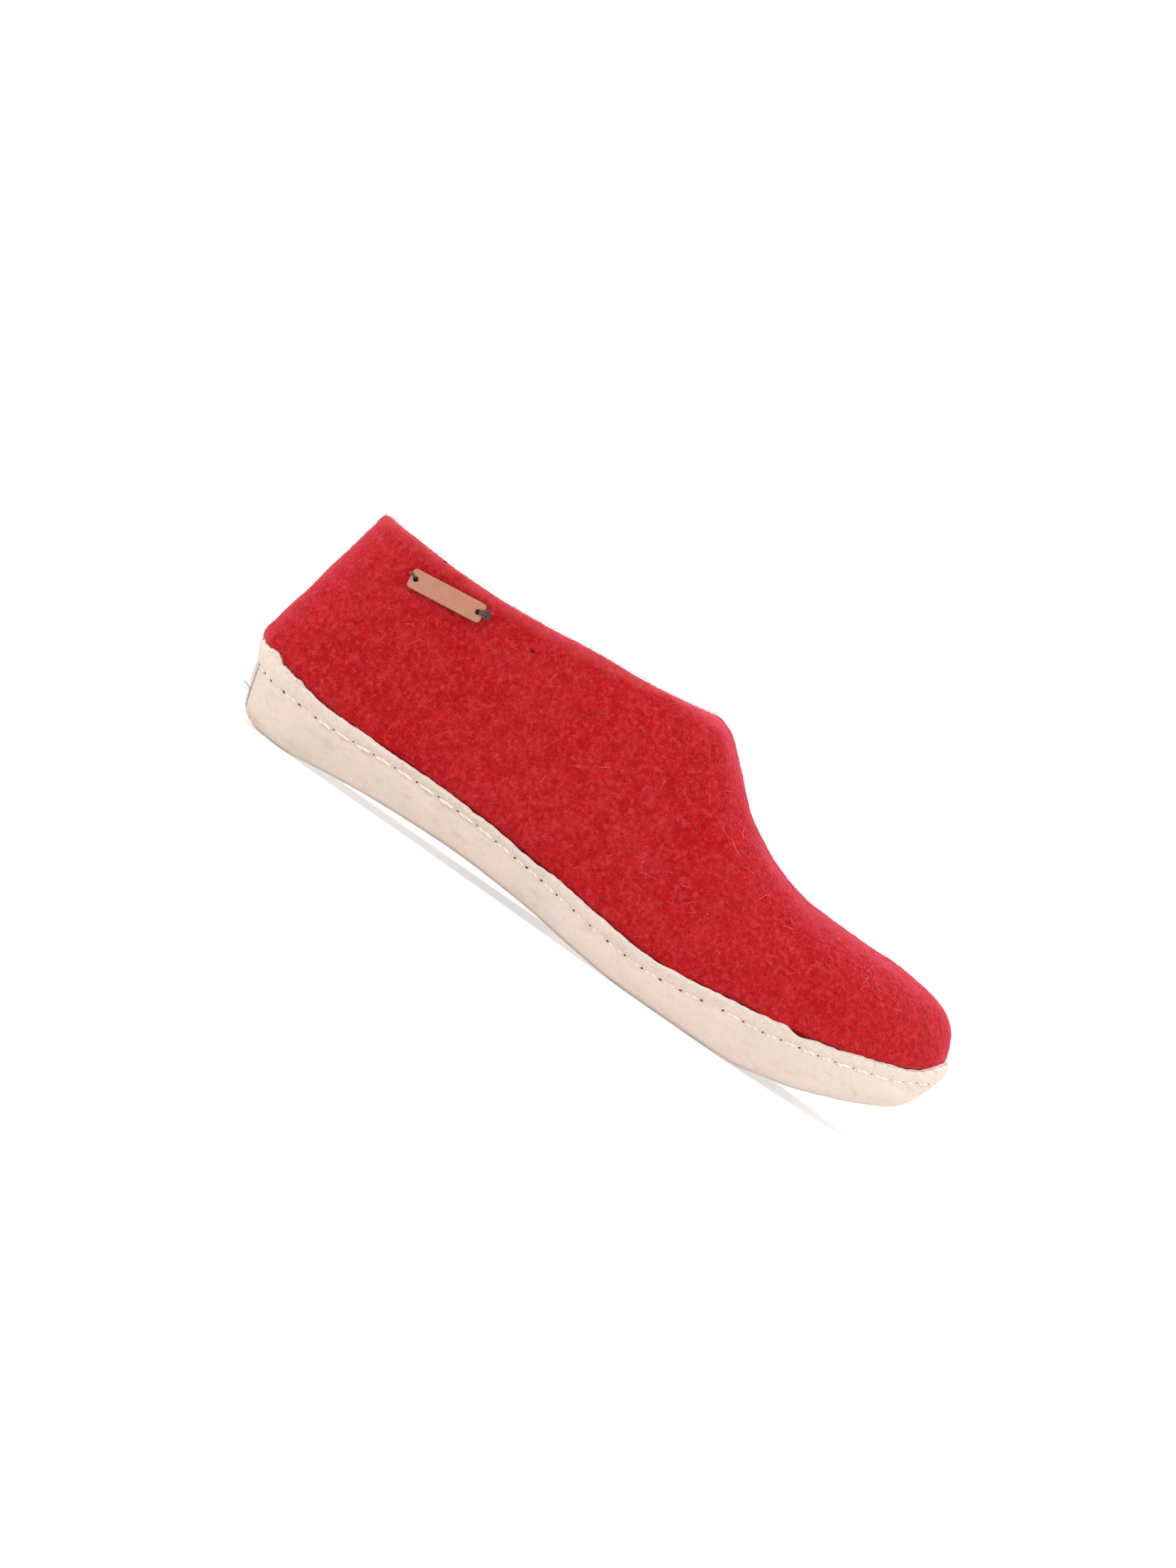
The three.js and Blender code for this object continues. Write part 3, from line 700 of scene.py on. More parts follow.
class Round:
    """Places round the sole's outside, by their distance along the lip from the middle of the heel.

    Between the two centres a station looks straight out to its side, and round the ends it fans out."""

    HEEL_CENTRE = 42
    TOE_CENTRE = 205
    FAN = 28

    def __init__(self, tree):
        self.tree = tree
        heel, toe = shoe_x(self.HEEL_CENTRE), shoe_x(self.TOE_CENTRE)
        self.rays = []
        steps = 60
        for side in (-1, 1):
            rays = []
            for i in range(self.FAN):
                angle = math.pi - math.pi / 2 * i / self.FAN
                rays.append((Vector((heel, 0, 0)), Vector((math.cos(angle), side * math.sin(angle), 0))))
            for i in range(steps):
                rays.append((Vector((heel + (toe - heel) * i / steps, 0, 0)), Vector((0, side, 0))))
            for i in range(self.FAN + 1):
                angle = math.pi / 2 - math.pi / 2 * i / self.FAN
                rays.append((Vector((toe, 0, 0)), Vector((math.cos(angle), side * math.sin(angle), 0))))
            self.rays.append(rays if side == -1 else rays[-2:0:-1])
        self.rays = self.rays[0] + self.rays[1]

    def side_point(self, ray, z):
        """The point and normal of the sole's outer face at a height, or None above the lip."""
        origin, out = ray
        start = origin + out * RAY_START
        start.z = z
        point, normal, _, _ = self.tree.ray_cast(start, -out, RAY_START)
        return point, normal

    def lip_top(self, ray):
        """The height of the lip's upper edge in one direction."""
        z, step = 60 * MM, 0.25 * MM
        while z > 0:
            point, _ = self.side_point(ray, z)
            if point is not None:
                return z
            z -= step
        return 0.0

    def seam(self):
        """All round, the seam's point and normal and the lip's height above it, as a closed line."""
        found = []
        for ray in self.rays:
            top = self.lip_top(ray)
            near, _ = self.side_point(ray, top - 3 * MM)
            drop = at_seam("drop", near.x) + LIP_CROWN
            point, normal = self.side_point(ray, top - drop * MM)
            found.append((point, normal, top))
        return found

    def tread_edge(self):
        """Points all round at the foot of the suede side."""
        found = []
        for ray in self.rays:
            z = 0.0
            while z < 60 * MM:
                point, _ = self.side_point(ray, z + 0.05 * MM)
                if point is not None and (point - ray[0]).dot(ray[1]) > 12 * MM:
                    found.append(point)
                    break
                z += 0.25 * MM
        return found


def seen_place(point):
    """How far from the heel the camera sees a point, against the shoe's middle plane, in mm."""
    nearer = CAMERA_DISTANCE / (CAMERA_DISTANCE + point.y)
    return from_heel(CAMERA_TARGET.x + (point.x - CAMERA_TARGET.x) * nearer)


def stitch_places(seam):
    """Where the needle went through: (point, normal, direction along the seam) at each pinhole."""
    rng = random.Random(11)
    points = [p for p, _, _ in seam]
    lengths = [0.0]
    for a, b in zip(points, points[1:] + points[:1]):
        lengths.append(lengths[-1] + (b - a).length)
    total = lengths[-1]

    def at(distance):
        distance %= total
        i = max(k for k in range(len(points)) if lengths[k] <= distance)
        share = (distance - lengths[i]) / (lengths[i + 1] - lengths[i])
        nxt = (i + 1) % len(points)
        point = seam[i][0].lerp(seam[nxt][0], share)
        normal = seam[i][1].lerp(seam[nxt][1], share).normalized()
        direction = (seam[nxt][0] - seam[i][0]).normalized()
        return point, normal, direction

    toe = max(range(len(points)), key=lambda i: points[i].x)
    reached = [seen_place(p) for p in points[: toe + 1]]
    distances = list(np.interp(OUTER_HOLES, reached, lengths[: toe + 1]))
    end = total + distances[0] - 3.5 * MM
    while True:
        step = at_seam("step", at(distances[-1])[0].x)
        onward = distances[-1] + (step + rng.uniform(-0.4, 0.4)) * MM
        if onward > end:
            break
        distances.append(onward)
    return [at(d) for d in distances]


def lip_unevenness(co, normals, tops):
    """How far up and out each point of the sole goes because its lip is cut and stretched unevenly."""
    x = from_heel(co[:, 0])
    below = (tops - co[:, 2]) / MM
    free = 1 - smooth((below - 0.3) / 3.2)
    flat = np.stack([co[:, 0], co[:, 1], np.zeros(len(co))], axis=1)
    heel = 1 - smooth((x - 12) / 18)
    ragged = 0.35 * lumps(flat, 9, 21) + (0.3 + 0.5 * heel) * lumps(flat, 3.2, 22, 2)
    up = ragged.copy()
    out = 0.2 * lumps(flat, 12, 23)
    for bump in LIP_BUMPS:
        on_side = co[:, 1] < 0 if bump["side"] == "outer" else co[:, 1] > 0
        share = np.exp(-(((x - bump["x"]) / bump["width"]) ** 2)) * on_side
        up += bump["up"] * share
        out += bump["out"] * share
    level = normals.copy()
    level[:, 2] = 0
    move = level * (out * free)[:, None]
    move[:, 2] += up * free
    return move * MM


def shaped_ends(piece, stations):
    """Rounds the heel's lower edge, over a reach that fades out forward, and swells the toe's tip."""
    tree = nearest_of(stations.tread_edge())
    co = coordinates(piece.data)
    normals = normals_of(piece.data)
    x = from_heel(co[:, 0])
    reach = HEEL_FOOT * (1 - smooth((x - 12) / 22))
    for i in np.nonzero(reach > 0.2)[0]:
        _, nearest, away = tree.find(co[i])
        share = 1 - away / (reach[i] * MM)
        if share <= 0:
            continue
        inward = -stations.rays[nearest][1]
        co[i] += np.array(inward * 0.54 + Vector((0, 0, 0.84))) * 0.3 * reach[i] * MM * share**2
    outside = (co[:, :2] * normals[:, :2]).sum(1) > 0
    level = smooth(1.6 * np.linalg.norm(normals[:, :2], axis=1))
    height = np.exp(-(((co[:, 2] / MM - TOE_SWELL_HEIGHT) / 5) ** 2))
    co += normals * (TOE_SWELL * smooth((x - 257) / 9) * height * level * outside * MM)[:, None]
    set_coordinates(piece.data, co)


def suede_sole():
    piece = rounded(copy_of("sole", "suede_sole", suede_finish("cream_suede")), 3)
    shaped_ends(piece, Round(tree_of(piece)))
    stations = Round(tree_of(piece))
    seam = stations.seam()
    from_edge = near_points(stations.tread_edge(), coordinates(piece.data))
    softened(piece, 0.7 * (1 - smooth(from_edge / 4.5)), 12)
    mesh = piece.data
    co = coordinates(mesh)
    normals = normals_of(mesh)
    tops = nearest_of([(point.x, point.y, 0) for point, _, _ in seam])

    def lip_height(places):
        return np.array([seam[tops.find((p[0], p[1], 0))[1]][2] for p in places])

    lip_z = lip_height(co)
    places = stitch_places(seam)
    side = smooth(1.6 * np.linalg.norm(normals[:, :2], axis=1))
    outside = np.array([(p[0] * n[0] + p[1] * n[1]) > 0 for p, n in zip(co, normals)])
    above_floor = smooth(co[:, 2] / (3 * MM))
    uneven = 0.22 * lumps(co, 14, 31) + 0.1 * lumps(co, 5, 32, 2)
    move = normals * (uneven * side * above_floor * outside * MM)[:, None]
    move += lip_unevenness(co, normals, lip_z)
    from_hole = near_points([point for point, _, _ in places], co)
    move -= normals * (0.25 * np.exp(-((from_hole / 1.6) ** 2)) * outside * MM)[:, None]
    moved = co + move
    moved[:, 2] = np.maximum(moved[:, 2], 0)
    set_coordinates(mesh, moved)
    # Painted shade: tread_edge marks the lowest 1.6 mm of the suede side.
    tread_edge = 1 - smooth((co[:, 2] - tread_height(co)) / (1.6 * MM))
    point_value(mesh, "tread_edge", tread_edge * outside)
    below = (lip_z - co[:, 2]) / MM
    # The lip's top edge: paler cut suede, partly a painted highlight.
    point_value(mesh, "pale_and_highlit_edge", 0.6 * (1 - smooth((below + 0.2) / 0.9)))
    drop = at_seam("drop", co[:, 0])
    point_value(mesh, "strip", 1 - smooth((below - drop + 0.6) / 1.2))
    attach(piece, "root")
    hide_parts("sole")
    return piece, places, lip_height


def tread_height(co):
    """How high the tread lies at each point's distance from the heel: the lowest point there."""
    slices = 80
    place = np.clip(((co[:, 0] - HEEL_X) / LENGTH * slices).astype(int), 0, slices - 1)
    lowest = np.array([co[place == i, 2].min() if (place == i).any() else 0 for i in range(slices)])
    return np.interp((co[:, 0] - HEEL_X) / LENGTH * slices, np.arange(slices) + 0.5, lowest)


# Threads and fibres


def tube(path, radius, sides, profile=None, twist=0.0, plies=0):
    """The points and faces of a closed tube along a path, with the groove of each point.

    profile gives the share of the radius at each share of the length, and plies twist round it."""
    count = len(path)
    points, faces, grooves = [], [], []
    up = Vector((0.31, 0.23, 0.92)).normalized()
    for i, p in enumerate(path):
        ahead = (path[min(i + 1, count - 1)] - path[max(i - 1, 0)]).normalized()
        right = ahead.cross(up)
        if right.length < 0.1:
            right = ahead.cross(Vector((1, 0, 0)))
        right.normalize()
        rise = right.cross(ahead).normalized()
        share = i / (count - 1)
        wide = radius * (profile(share) if profile else 1)
        for k in range(sides):
            angle = 2 * math.pi * k / sides
            groove = 0.0
            if plies:
                groove = 0.5 - 0.5 * math.cos(plies * (angle + twist * share))
            reach = wide * (1 - 0.16 * groove)
            points.append(p + (right * math.cos(angle) + rise * math.sin(angle)) * reach)
            grooves.append(groove)
    for i in range(count - 1):
        for k in range(sides):
            a, b = i * sides + k, i * sides + (k + 1) % sides
            faces.append((a, b, b + sides, a + sides))
    faces.append(tuple(range(sides))[::-1])
    faces.append(tuple(range((count - 1) * sides, count * sides)))
    return points, faces, grooves


class Joined:
    """Many small closed forms in one mesh, with a number for each point, or one for a whole form."""

    def __init__(self):
        self.points, self.faces, self.values = [], [], []

    def add(self, points, faces, values):
        start = len(self.points)
        self.points.extend(tuple(p) for p in points)
        self.faces.extend(tuple(start + i for i in face) for face in faces)
        self.values.extend(values if isinstance(values, list) else [values] * len(points))

    def piece(self, name, material, slot, value_name):
        mesh = bpy.data.meshes.new(name)
        mesh.from_pydata(self.points, [], self.faces)
        point_value(mesh, value_name, self.values)
        obj = new_object(name, mesh, material)
        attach(obj, "root")
        return obj


def capsule(share):
    """Round ends for a short tube, and a full middle."""
    end = min(share, 1 - share) / 0.12
    return math.sqrt(max(1 - (1 - min(end, 1)) ** 2, 0.02))


def sole_stitches(places):
    """The seam's thread: one dash between each two pinholes, sunk into the suede at its ends."""
    rng = random.Random(12)
    joined = Joined()
    steps = 18
    for here, there in zip(places, places[1:] + places[:1]):
        start, end = here[0], there[0]
        normal = (here[1] + there[1]).normalized()
        chord = end - start
        first = (1.1 + rng.uniform(-0.2, 0.6)) * MM / chord.length
        last = 1 - (1.1 + rng.uniform(-0.2, 0.6)) * MM / chord.length
        proud_of = at_seam("proud", start.x)
        slack = (proud_of + rng.uniform(-0.08, 0.08)) * MM
        tilt = Vector((0, 0, rng.uniform(-0.3, 0.3) * MM))
        path = []
        for i in range(steps + 1):
            share = i / steps
            proud = slack * math.sin(math.pi * share) if slack > 0 else slack
            proud -= 0.5 * MM * (2 * share - 1) ** 6
            along = first + (last - first) * share
            path.append(start + chord * along + normal * proud + tilt * (share - 0.5))
        radius = STITCH_THREAD / 2 * MM * rng.uniform(0.88, 1.08)
        joined.add(*tube(path, radius, 10, profile=capsule, twist=5.0, plies=2))
    light, dark = linear(245, 236, 225), linear(214, 200, 184)
    return joined.piece("sole_stitches", thread_finish("cream_thread", light, dark), "suede", "groove")


def lens(centre, normal, wide, deep, sides=10):
    """A thin closed lens that lies in a surface."""
    across = normal.orthogonal().normalized()
    other = normal.cross(across)
    points = [centre + normal * deep, centre - normal * deep]
    for k in range(sides):
        angle = 2 * math.pi * k / sides
        points.append(centre + (across * math.cos(angle) + other * math.sin(angle)) * wide)
    faces = []
    for k in range(sides):
        a, b = 2 + k, 2 + (k + 1) % sides
        faces.append((0, a, b))
        faces.append((1, b, a))
    return points, faces


def sole_pinholes(places, sole_tree):
    """The needle's holes: small dark lenses that paint the shade where the thread goes in."""
    rng = random.Random(13)
    joined = Joined()
    for point, normal, _ in places:
        found, facing, _, _ = sole_tree.ray_cast(point + normal * 3 * MM, -normal, 6 * MM)
        if found is None:
            continue
        hole = at_seam("hole", point.x)
        wide = hole / 2 * MM * rng.uniform(0.75, 1.2)
        points, faces = lens(found + facing * 0.02 * MM, facing, wide, 0.1 * MM)
        joined.add(points, faces, 0.0)
    material = plain_finish("needle_hole_shade", linear(124, 106, 94), linear(86, 70, 62))
    return joined.piece("sole_pinholes", material, "suede", "groove")


def strands_on(samples, rng, length, lift, radius, curl, knots=5):
    """Thin fibres that lie on a surface, all at once.

    samples holds the points and normals they start from. lift is how far their middles stand off,
    and curl how far they wander sideways. The ends dip into the surface."""
    points, normals = samples
    count = len(points)
    sides = 3
    random_way = rng.normal(size=(count, 3))
    along = np.cross(normals, random_way)
    along /= np.linalg.norm(along, axis=1)[:, None]
    across = np.cross(normals, along)
    reach = (length[0] + (length[1] - length[0]) * rng.random(count) ** 2) * MM
    rise = (lift[0] + (lift[1] - lift[0]) * rng.random(count) ** 3) * MM
    bend = curl * rng.normal(size=count) * reach
    swing = 0.5 * curl * rng.normal(size=count) * reach
    raised_end = (rng.random(count) < 0.06) * rng.random(count)
    wide = radius * (0.7 + 0.6 * rng.random(count)) * MM
    rings = []
    for k in range(knots):
        s = k / (knots - 1)
        up = rise * (np.sin(math.pi * s) + raised_end * s * 1.8) - 0.12 * MM * (1 - raised_end * s)
        side = bend * 4 * s * (1 - s) + swing * math.sin(2 * math.pi * s)
        centre = points + along * (reach * (s - 0.5))[:, None] + across * side[:, None]
        centre += normals * up[:, None]
        taper = 0.35 + 0.65 * math.sin(math.pi * (0.12 + 0.76 * s))
        for c in range(sides):
            angle = 2 * math.pi * c / sides
            spoke = normals * math.cos(angle) + across * math.sin(angle)
            rings.append(centre + spoke * (wide * taper)[:, None])
    all_points = np.stack(rings, axis=1).reshape(-1, 3)
    base = (np.arange(count) * knots * sides)[:, None]
    quads = []
    for k in range(knots - 1):
        for c in range(sides):
            a, b = k * sides + c, k * sides + (c + 1) % sides
            quads.append([a, b, b + sides, a + sides])
    quads = (base[:, :, None] + np.array(quads)[None]).reshape(-1, 4)
    last = (knots - 1) * sides
    caps = (base[:, :, None] + np.array([[2, 1, 0], [last, last + 1, last + 2]])[None]).reshape(-1, 3)
    return all_points, quads, caps, np.repeat(rng.random(count), knots * sides)


def mesh_of(name, points, quads, caps):
    """A mesh from arrays of points, four-sided faces and three-sided faces."""
    mesh = bpy.data.meshes.new(name)
    mesh.vertices.add(len(points))
    mesh.vertices.foreach_set("co", points.astype(np.float32).ravel())
    mesh.loops.add(quads.size + caps.size)
    mesh.loops.foreach_set("vertex_index", np.concatenate([quads.ravel(), caps.ravel()]).astype(np.int32))
    sizes = np.concatenate([np.full(len(quads), 4), np.full(len(caps), 3)])
    mesh.polygons.add(len(sizes))
    starts = np.concatenate([[0], np.cumsum(sizes)[:-1]])
    mesh.polygons.foreach_set("loop_start", starts.astype(np.int32))
    mesh.update(calc_edges=True)
    mesh.validate()
    return mesh


def surface_samples(obj, count, rng, weight_of):
    """Random points and normals of a piece, more of them where weight_of says."""
    mesh = obj.data
    mesh.calc_loop_triangles()
    corners = np.empty(len(mesh.loop_triangles) * 3, np.int32)
    mesh.loop_triangles.foreach_get("vertices", corners)
    corners = corners.reshape(-1, 3)
    co, normals = coordinates(mesh), normals_of(mesh)
    a, b, c = (co[corners[:, i]] for i in range(3))
    area = np.linalg.norm(np.cross(b - a, c - a), axis=1) / 2
    weight = area * weight_of((a + b + c) / 3, normals[corners].mean(1))
    chosen = rng.choice(len(corners), size=count, p=weight / weight.sum())
    u, v = rng.random(count), rng.random(count)
    over = u + v > 1
    u[over], v[over] = 1 - u[over], 1 - v[over]
    shares = np.stack([1 - u - v, u, v], axis=1)
    points = (co[corners[chosen]] * shares[:, :, None]).sum(1)
    facing = (normals[corners[chosen]] * shares[:, :, None]).sum(1)
    return points, facing / np.linalg.norm(facing, axis=1)[:, None]


def fuzz_piece(name, samples, rng, material, slot, **form):
    points, quads, caps, tones = strands_on(samples, rng, **form)
    mesh = mesh_of(name, points, quads, caps)
    point_value(mesh, "tone", tones)
    piece = new_object(name, mesh, material)
    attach(piece, "root")
    return piece


def felt_fuzz(upper):
    """The nap of loose fibres over the felt, outside in two pieces, and in the lining."""
    red_fibre = fibre_finish("red_fibre", linear(186, 28, 34), linear(224, 88, 99), 0.6)

    def outside(middle, normals):
        return (outward_of(middle, normals)[1] > 0.3) & (middle[:, 2] > seat_line(middle))

    def lining(middle, normals):
        return (outward_of(middle, normals)[1] < 0) & (middle[:, 2] > 25 * MM)

    for i in range(2):
        rng = np.random.default_rng(51 + i)
        samples = surface_samples(upper, FUZZ_STRANDS, rng, outside)
        form = {"length": (2.0, 6.5), "lift": (0.03, 0.36), "radius": 0.042, "curl": 0.26}
        fuzz_piece(f"felt_fuzz_{i + 1}", samples, rng, red_fibre, "felt", **form)
    rng = np.random.default_rng(61)
    samples = surface_samples(upper, LINING_STRANDS, rng, lining)
    form = {"length": (2.0, 6.5), "lift": (0.06, 0.45), "radius": 0.055, "curl": 0.25}
    fuzz_piece("lining_fuzz", samples, rng, red_fibre, "felt", **form)


def seat_line(points):
    """The height above which the felt is free of the sole's lip, roughly, at each point."""
    x = from_heel(points[:, 0])
    places = [0, 10, 30, 60, 110, 160, 200, 240, 268]
    heights = [29, 25, 21, 21, 19, 15.5, 20, 28, 39]
    return np.interp(x, places, heights) * MM


def hair(tree, x, z, length, turn, side, rng):
    """A path on the felt from a place, along a direction that turns up from +X, slightly curled."""
    angle = math.radians(turn)
    bend = rng.uniform(-0.16, 0.16)
    path = []
    steps = 7
    for i in range(steps):
        s = (i / (steps - 1) - 0.5) * length
        off = bend * length * (1 - (2 * s / length) ** 2)
        px = x + s * math.cos(angle) - off * math.sin(angle)
        pz = z + s * math.sin(angle) + off * math.cos(angle)
        point, normal = seen_from_side(tree, px, pz, side)
        if point is None:
            return []
        path.append(point + normal * (0.1 + 0.35 * math.sin(math.pi * i / (steps - 1))) * MM)
    return path


def pale_hairs(tree):
    """A few long fibres of undyed wool on both sides, and little pale specks."""
    rng = random.Random(71)
    joined = Joined()
    rows = [{**row, "side": OUTER_SIDE} for row in BRIGHT_HAIRS]
    while len(rows) < PALE_HAIRS:
        side = rng.choice([OUTER_SIDE, INNER_SIDE])
        row = {"x": rng.uniform(12, 256), "z": rng.uniform(24, 84), "side": side}
        rows.append({**row, "length": rng.uniform(2.0, 5.5), "turn": rng.uniform(0, 180)})
    for band in FIBRE_BANDS:
        for _ in range(band["count"]):
            along = rng.gauss(0, 0.5) * band["along"]
            x, z = band["x"] + along, band["z"] + along * band["slope"] + rng.gauss(0, 0.5) * band["across"]
            turn = math.degrees(math.atan(band["slope"])) + rng.gauss(0, 45)
            row = {"x": x, "z": z, "side": OUTER_SIDE, "length": rng.uniform(1.5, 4.5), "turn": turn}
            rows.append({**row, "tone": rng.uniform(0.1, 0.5)})
    for i, row in enumerate(rows):
        path = hair(tree, row["x"], row["z"], row["length"], row["turn"], row["side"], rng)
        if len(path) < 4 or max((b - a).length for a, b in zip(path, path[1:])) > 3 * MM:
            continue
        bright = i < len(BRIGHT_HAIRS)
        points, faces, _ = tube(path, rng.uniform(0.03, 0.045) * MM, 4, profile=capsule)
        tone = row.get("tone", rng.uniform(0.4, 0.9) if bright else rng.uniform(0.0, 0.4))
        joined.add(points, faces, tone)
    specks = LIGHT_SPECKS + [(rng.uniform(15, 250), rng.uniform(25, 80)) for _ in range(PALE_SPECKS)]
    for x, z in specks:
        point, normal = seen_from_side(tree, x, z, rng.choice([OUTER_SIDE, OUTER_SIDE, INNER_SIDE]))
        if point is None:
            continue
        points, faces = lens(point + normal * 0.1 * MM, normal, rng.uniform(0.1, 0.2) * MM, 0.1 * MM, 7)
        joined.add(points, faces, rng.uniform(0.3, 0.8))
    material = fibre_finish("pale_fibre", linear(220, 78, 94), linear(244, 170, 176))
    return joined.piece("pale_hairs", material, "felt", "tone")


def blob(centre, radius, squash, normal, seed):
    """A small lumpy closed form, flattened along a direction."""
    bm = bmesh.new()
    bmesh.ops.create_icosphere(bm, subdivisions=3, radius=1)
    points = []
    for v in bm.verts:
        grown = v.co * (1 + 0.35 * noise.noise(v.co * 1.7 + Vector((seed, seed, seed))))
        grown -= normal * grown.dot(normal) * (1 - squash)
        points.append(centre + grown * radius)
    faces = [tuple(v.index for v in face.verts) for face in bm.faces]
    bm.free()
    return points, faces


def rim_top(tree, x):
    """The highest point of the felt seen from the outer side, x mm from the heel."""
    z = 95.0
    while z > 60:
        point, _ = seen_from_side(tree, x, z)
        if point is not None:
            return point
        z -= 0.1
    return None


def flecks(tree):
    """A dark bit of plant matter caught in the felt, and a smaller one on the collar's rim."""
    joined = Joined()
    point, normal = seen_from_side(tree, 77.2, 73.6)
    points, faces = blob(point + normal * 0.05 * MM, 0.8 * MM, 0.4, normal, 3)
    joined.add(points, faces, 0.0)
    points, faces = blob(rim_top(tree, 37.1), 0.6 * MM, 0.8, Vector((0, 0, 1)), 5)
    joined.add(points, faces, 0.0)
    material = plain_finish("plant_matter", linear(104, 14, 18), linear(70, 12, 12))
    return joined.piece("felt_flecks", material, "felt", "groove")


def heel_seam_fuzz(sole_tree):
    """The frayed edge where the suede's ends lap at the heel: a painted shadow line along the lap's step, nap
    and a few loose threads.
    """
    rng = random.Random(81)
    joined = Joined()
    shares = [0, 0.36, 0.86, 1]

    def on_lap(share):
        x = np.interp(share, shares, [p[0] for p in LAP_LINE])
        z = np.interp(share, shares, [p[1] for p in LAP_LINE])
        return seen_from_side(sole_tree, x, z)

    # Painted shadow: a thin dark tube along the lap's step.
    line = [on_lap(i / 24) for i in range(25)]
    line = [point + normal * 0.02 * MM for point, normal in line if point is not None]
    points, faces, _ = tube(line, 0.13 * MM, 6, profile=capsule)
    joined.add(points, faces, 0.0)
    strands = [
        (rng.random(), rng.uniform(0.3, 1.1) ** 1.5, rng.uniform(-0.8, 0.8)) for _ in range(FRAY_STRANDS)
    ]
    for share, reach, rise in strands + LOOSE_THREADS:
        point, normal = on_lap(share)
        if point is None:
            continue
        away = Vector((-1, -0.3, rise)).normalized()
        curl = Vector((0, 0, rng.uniform(-0.5, 0.5)))
        steps = 7
        path = []
        for k in range(steps):
            s = k / (steps - 1)
            path.append(point + (away * s + curl * s * s + normal * (0.3 * s - 0.1)) * reach * MM)
        loose = reach > 1.5
        thick = rng.uniform(0.1, 0.16) if loose else rng.uniform(0.035, 0.06)
        points, faces, _ = tube(path, thick * MM, 5, profile=capsule)
        joined.add(points, faces, rng.uniform(0.3, 0.6) if loose else rng.uniform(0.3, 1.0))
    # Tone 0, the darkest, is the painted shadow of the lap; the fray takes the paler tones.
    material = fibre_finish("suede_fray_and_lap_shadow", linear(120, 100, 88), linear(238, 226, 214))
    return joined.piece("heel_seam_fuzz", material, "suede", "tone")


def suede_nap(sole, lip_height):
    """Short loose nap on the suede's sides, thickest along the lip's cut edge."""
    rng = np.random.default_rng(91)

    def sides(middle, normals):
        level = np.linalg.norm(normals[:, :2], axis=1)
        out = (middle[:, 0] * normals[:, 0] + middle[:, 1] * normals[:, 1]) > 0
        below = (lip_height(middle) - middle[:, 2]) / MM
        at_heel = 1 - smooth((from_heel(middle[:, 0]) - 20) / 25)
        edge = 1 + (9 + 24 * at_heel) * (1 - smooth((below - 0.3) / 0.8))
        return np.maximum(level, below < 0.4) * out * edge * (middle[:, 2] > 0.5 * MM)

    samples = surface_samples(sole, NAP_STRANDS, rng, sides)
    material = fibre_finish("suede_nap", linear(214, 200, 186), linear(238, 227, 216))
    form = {"length": (0.6, 1.8), "lift": (0.05, 0.3), "radius": 0.034, "curl": 0.2, "knots": 3}
    return fuzz_piece("suede_nap", samples, rng, material, "suede", **form)


# The tag


def tag_frame():
    """The middle of the tag's face and its directions along, up and out, read from its solid."""
    co = coordinates(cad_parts["tag"].data)
    middle = (co.min(0) + co.max(0)) / 2
    _, _, ways = np.linalg.svd(co - co.mean(0), full_matrices=False)
    along, up, out = (Vector(w) for w in ways)
    if along.x < 0:
        along.negate()
    if up.z < 0:
        up.negate()
    if out.y > 0:
        out.negate()
    shares = (co - middle) @ np.array([along, up, out]).T
    centre = Vector(middle)
    for axis, way in enumerate((along, up, out)):
        centre += way * float(shares[:, axis].max() + shares[:, axis].min()) / 2
    half = (shares.max(0) - shares.min(0)) / 2
    return centre, along, up, out, half


def leather_tag():
    """The bare tag, cut from thin leather: a fine mesh of its solid, softened and slightly curled."""
    piece = copy_of("tag", "leather_tag", leather_finish("tag_leather"))
    remesh = piece.modifiers.new("fine", "REMESH")
    remesh.mode = "VOXEL"
    remesh.voxel_size = 0.24 * MM
    soften = piece.modifiers.new("soften", "SMOOTH")
    soften.factor = 0.5
    soften.iterations = 3
    apply_modifiers(piece)
    mesh = piece.data
    centre, along, up, out, half = tag_frame()
    co = coordinates(mesh)
    facing = np.abs(normals_of(mesh) @ np.array(out))
    along_share = ((co - np.array(centre)) @ np.array(along)) / half[0]
    curl = 0.25 * along_share**2 * (along_share > 0)
    height = 0.05 * lumps(co, 2.2, 41) + 0.02 * lumps(co, 0.8, 42)
    co += np.array(out) * ((height * facing - curl) * MM)[:, None]
    set_coordinates(mesh, co)
    mesh.polygons.foreach_set("use_smooth", [True] * len(mesh.polygons))
    point_value(mesh, "cut_edge", 1 - smooth((facing - 0.55) / 0.35))
    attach(piece, "root")
    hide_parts("tag")
    return piece


def over_edge(start, end, top, steps=16):
    """A path out of a hole, over the tag's edge and down into the felt. top is how high it goes."""
    path = []
    for i in range(steps + 1):
        s = i / steps
        rise = math.sin(math.pi * s) ** 0.5
        path.append(start.lerp(end, s) + top * rise)
    return path


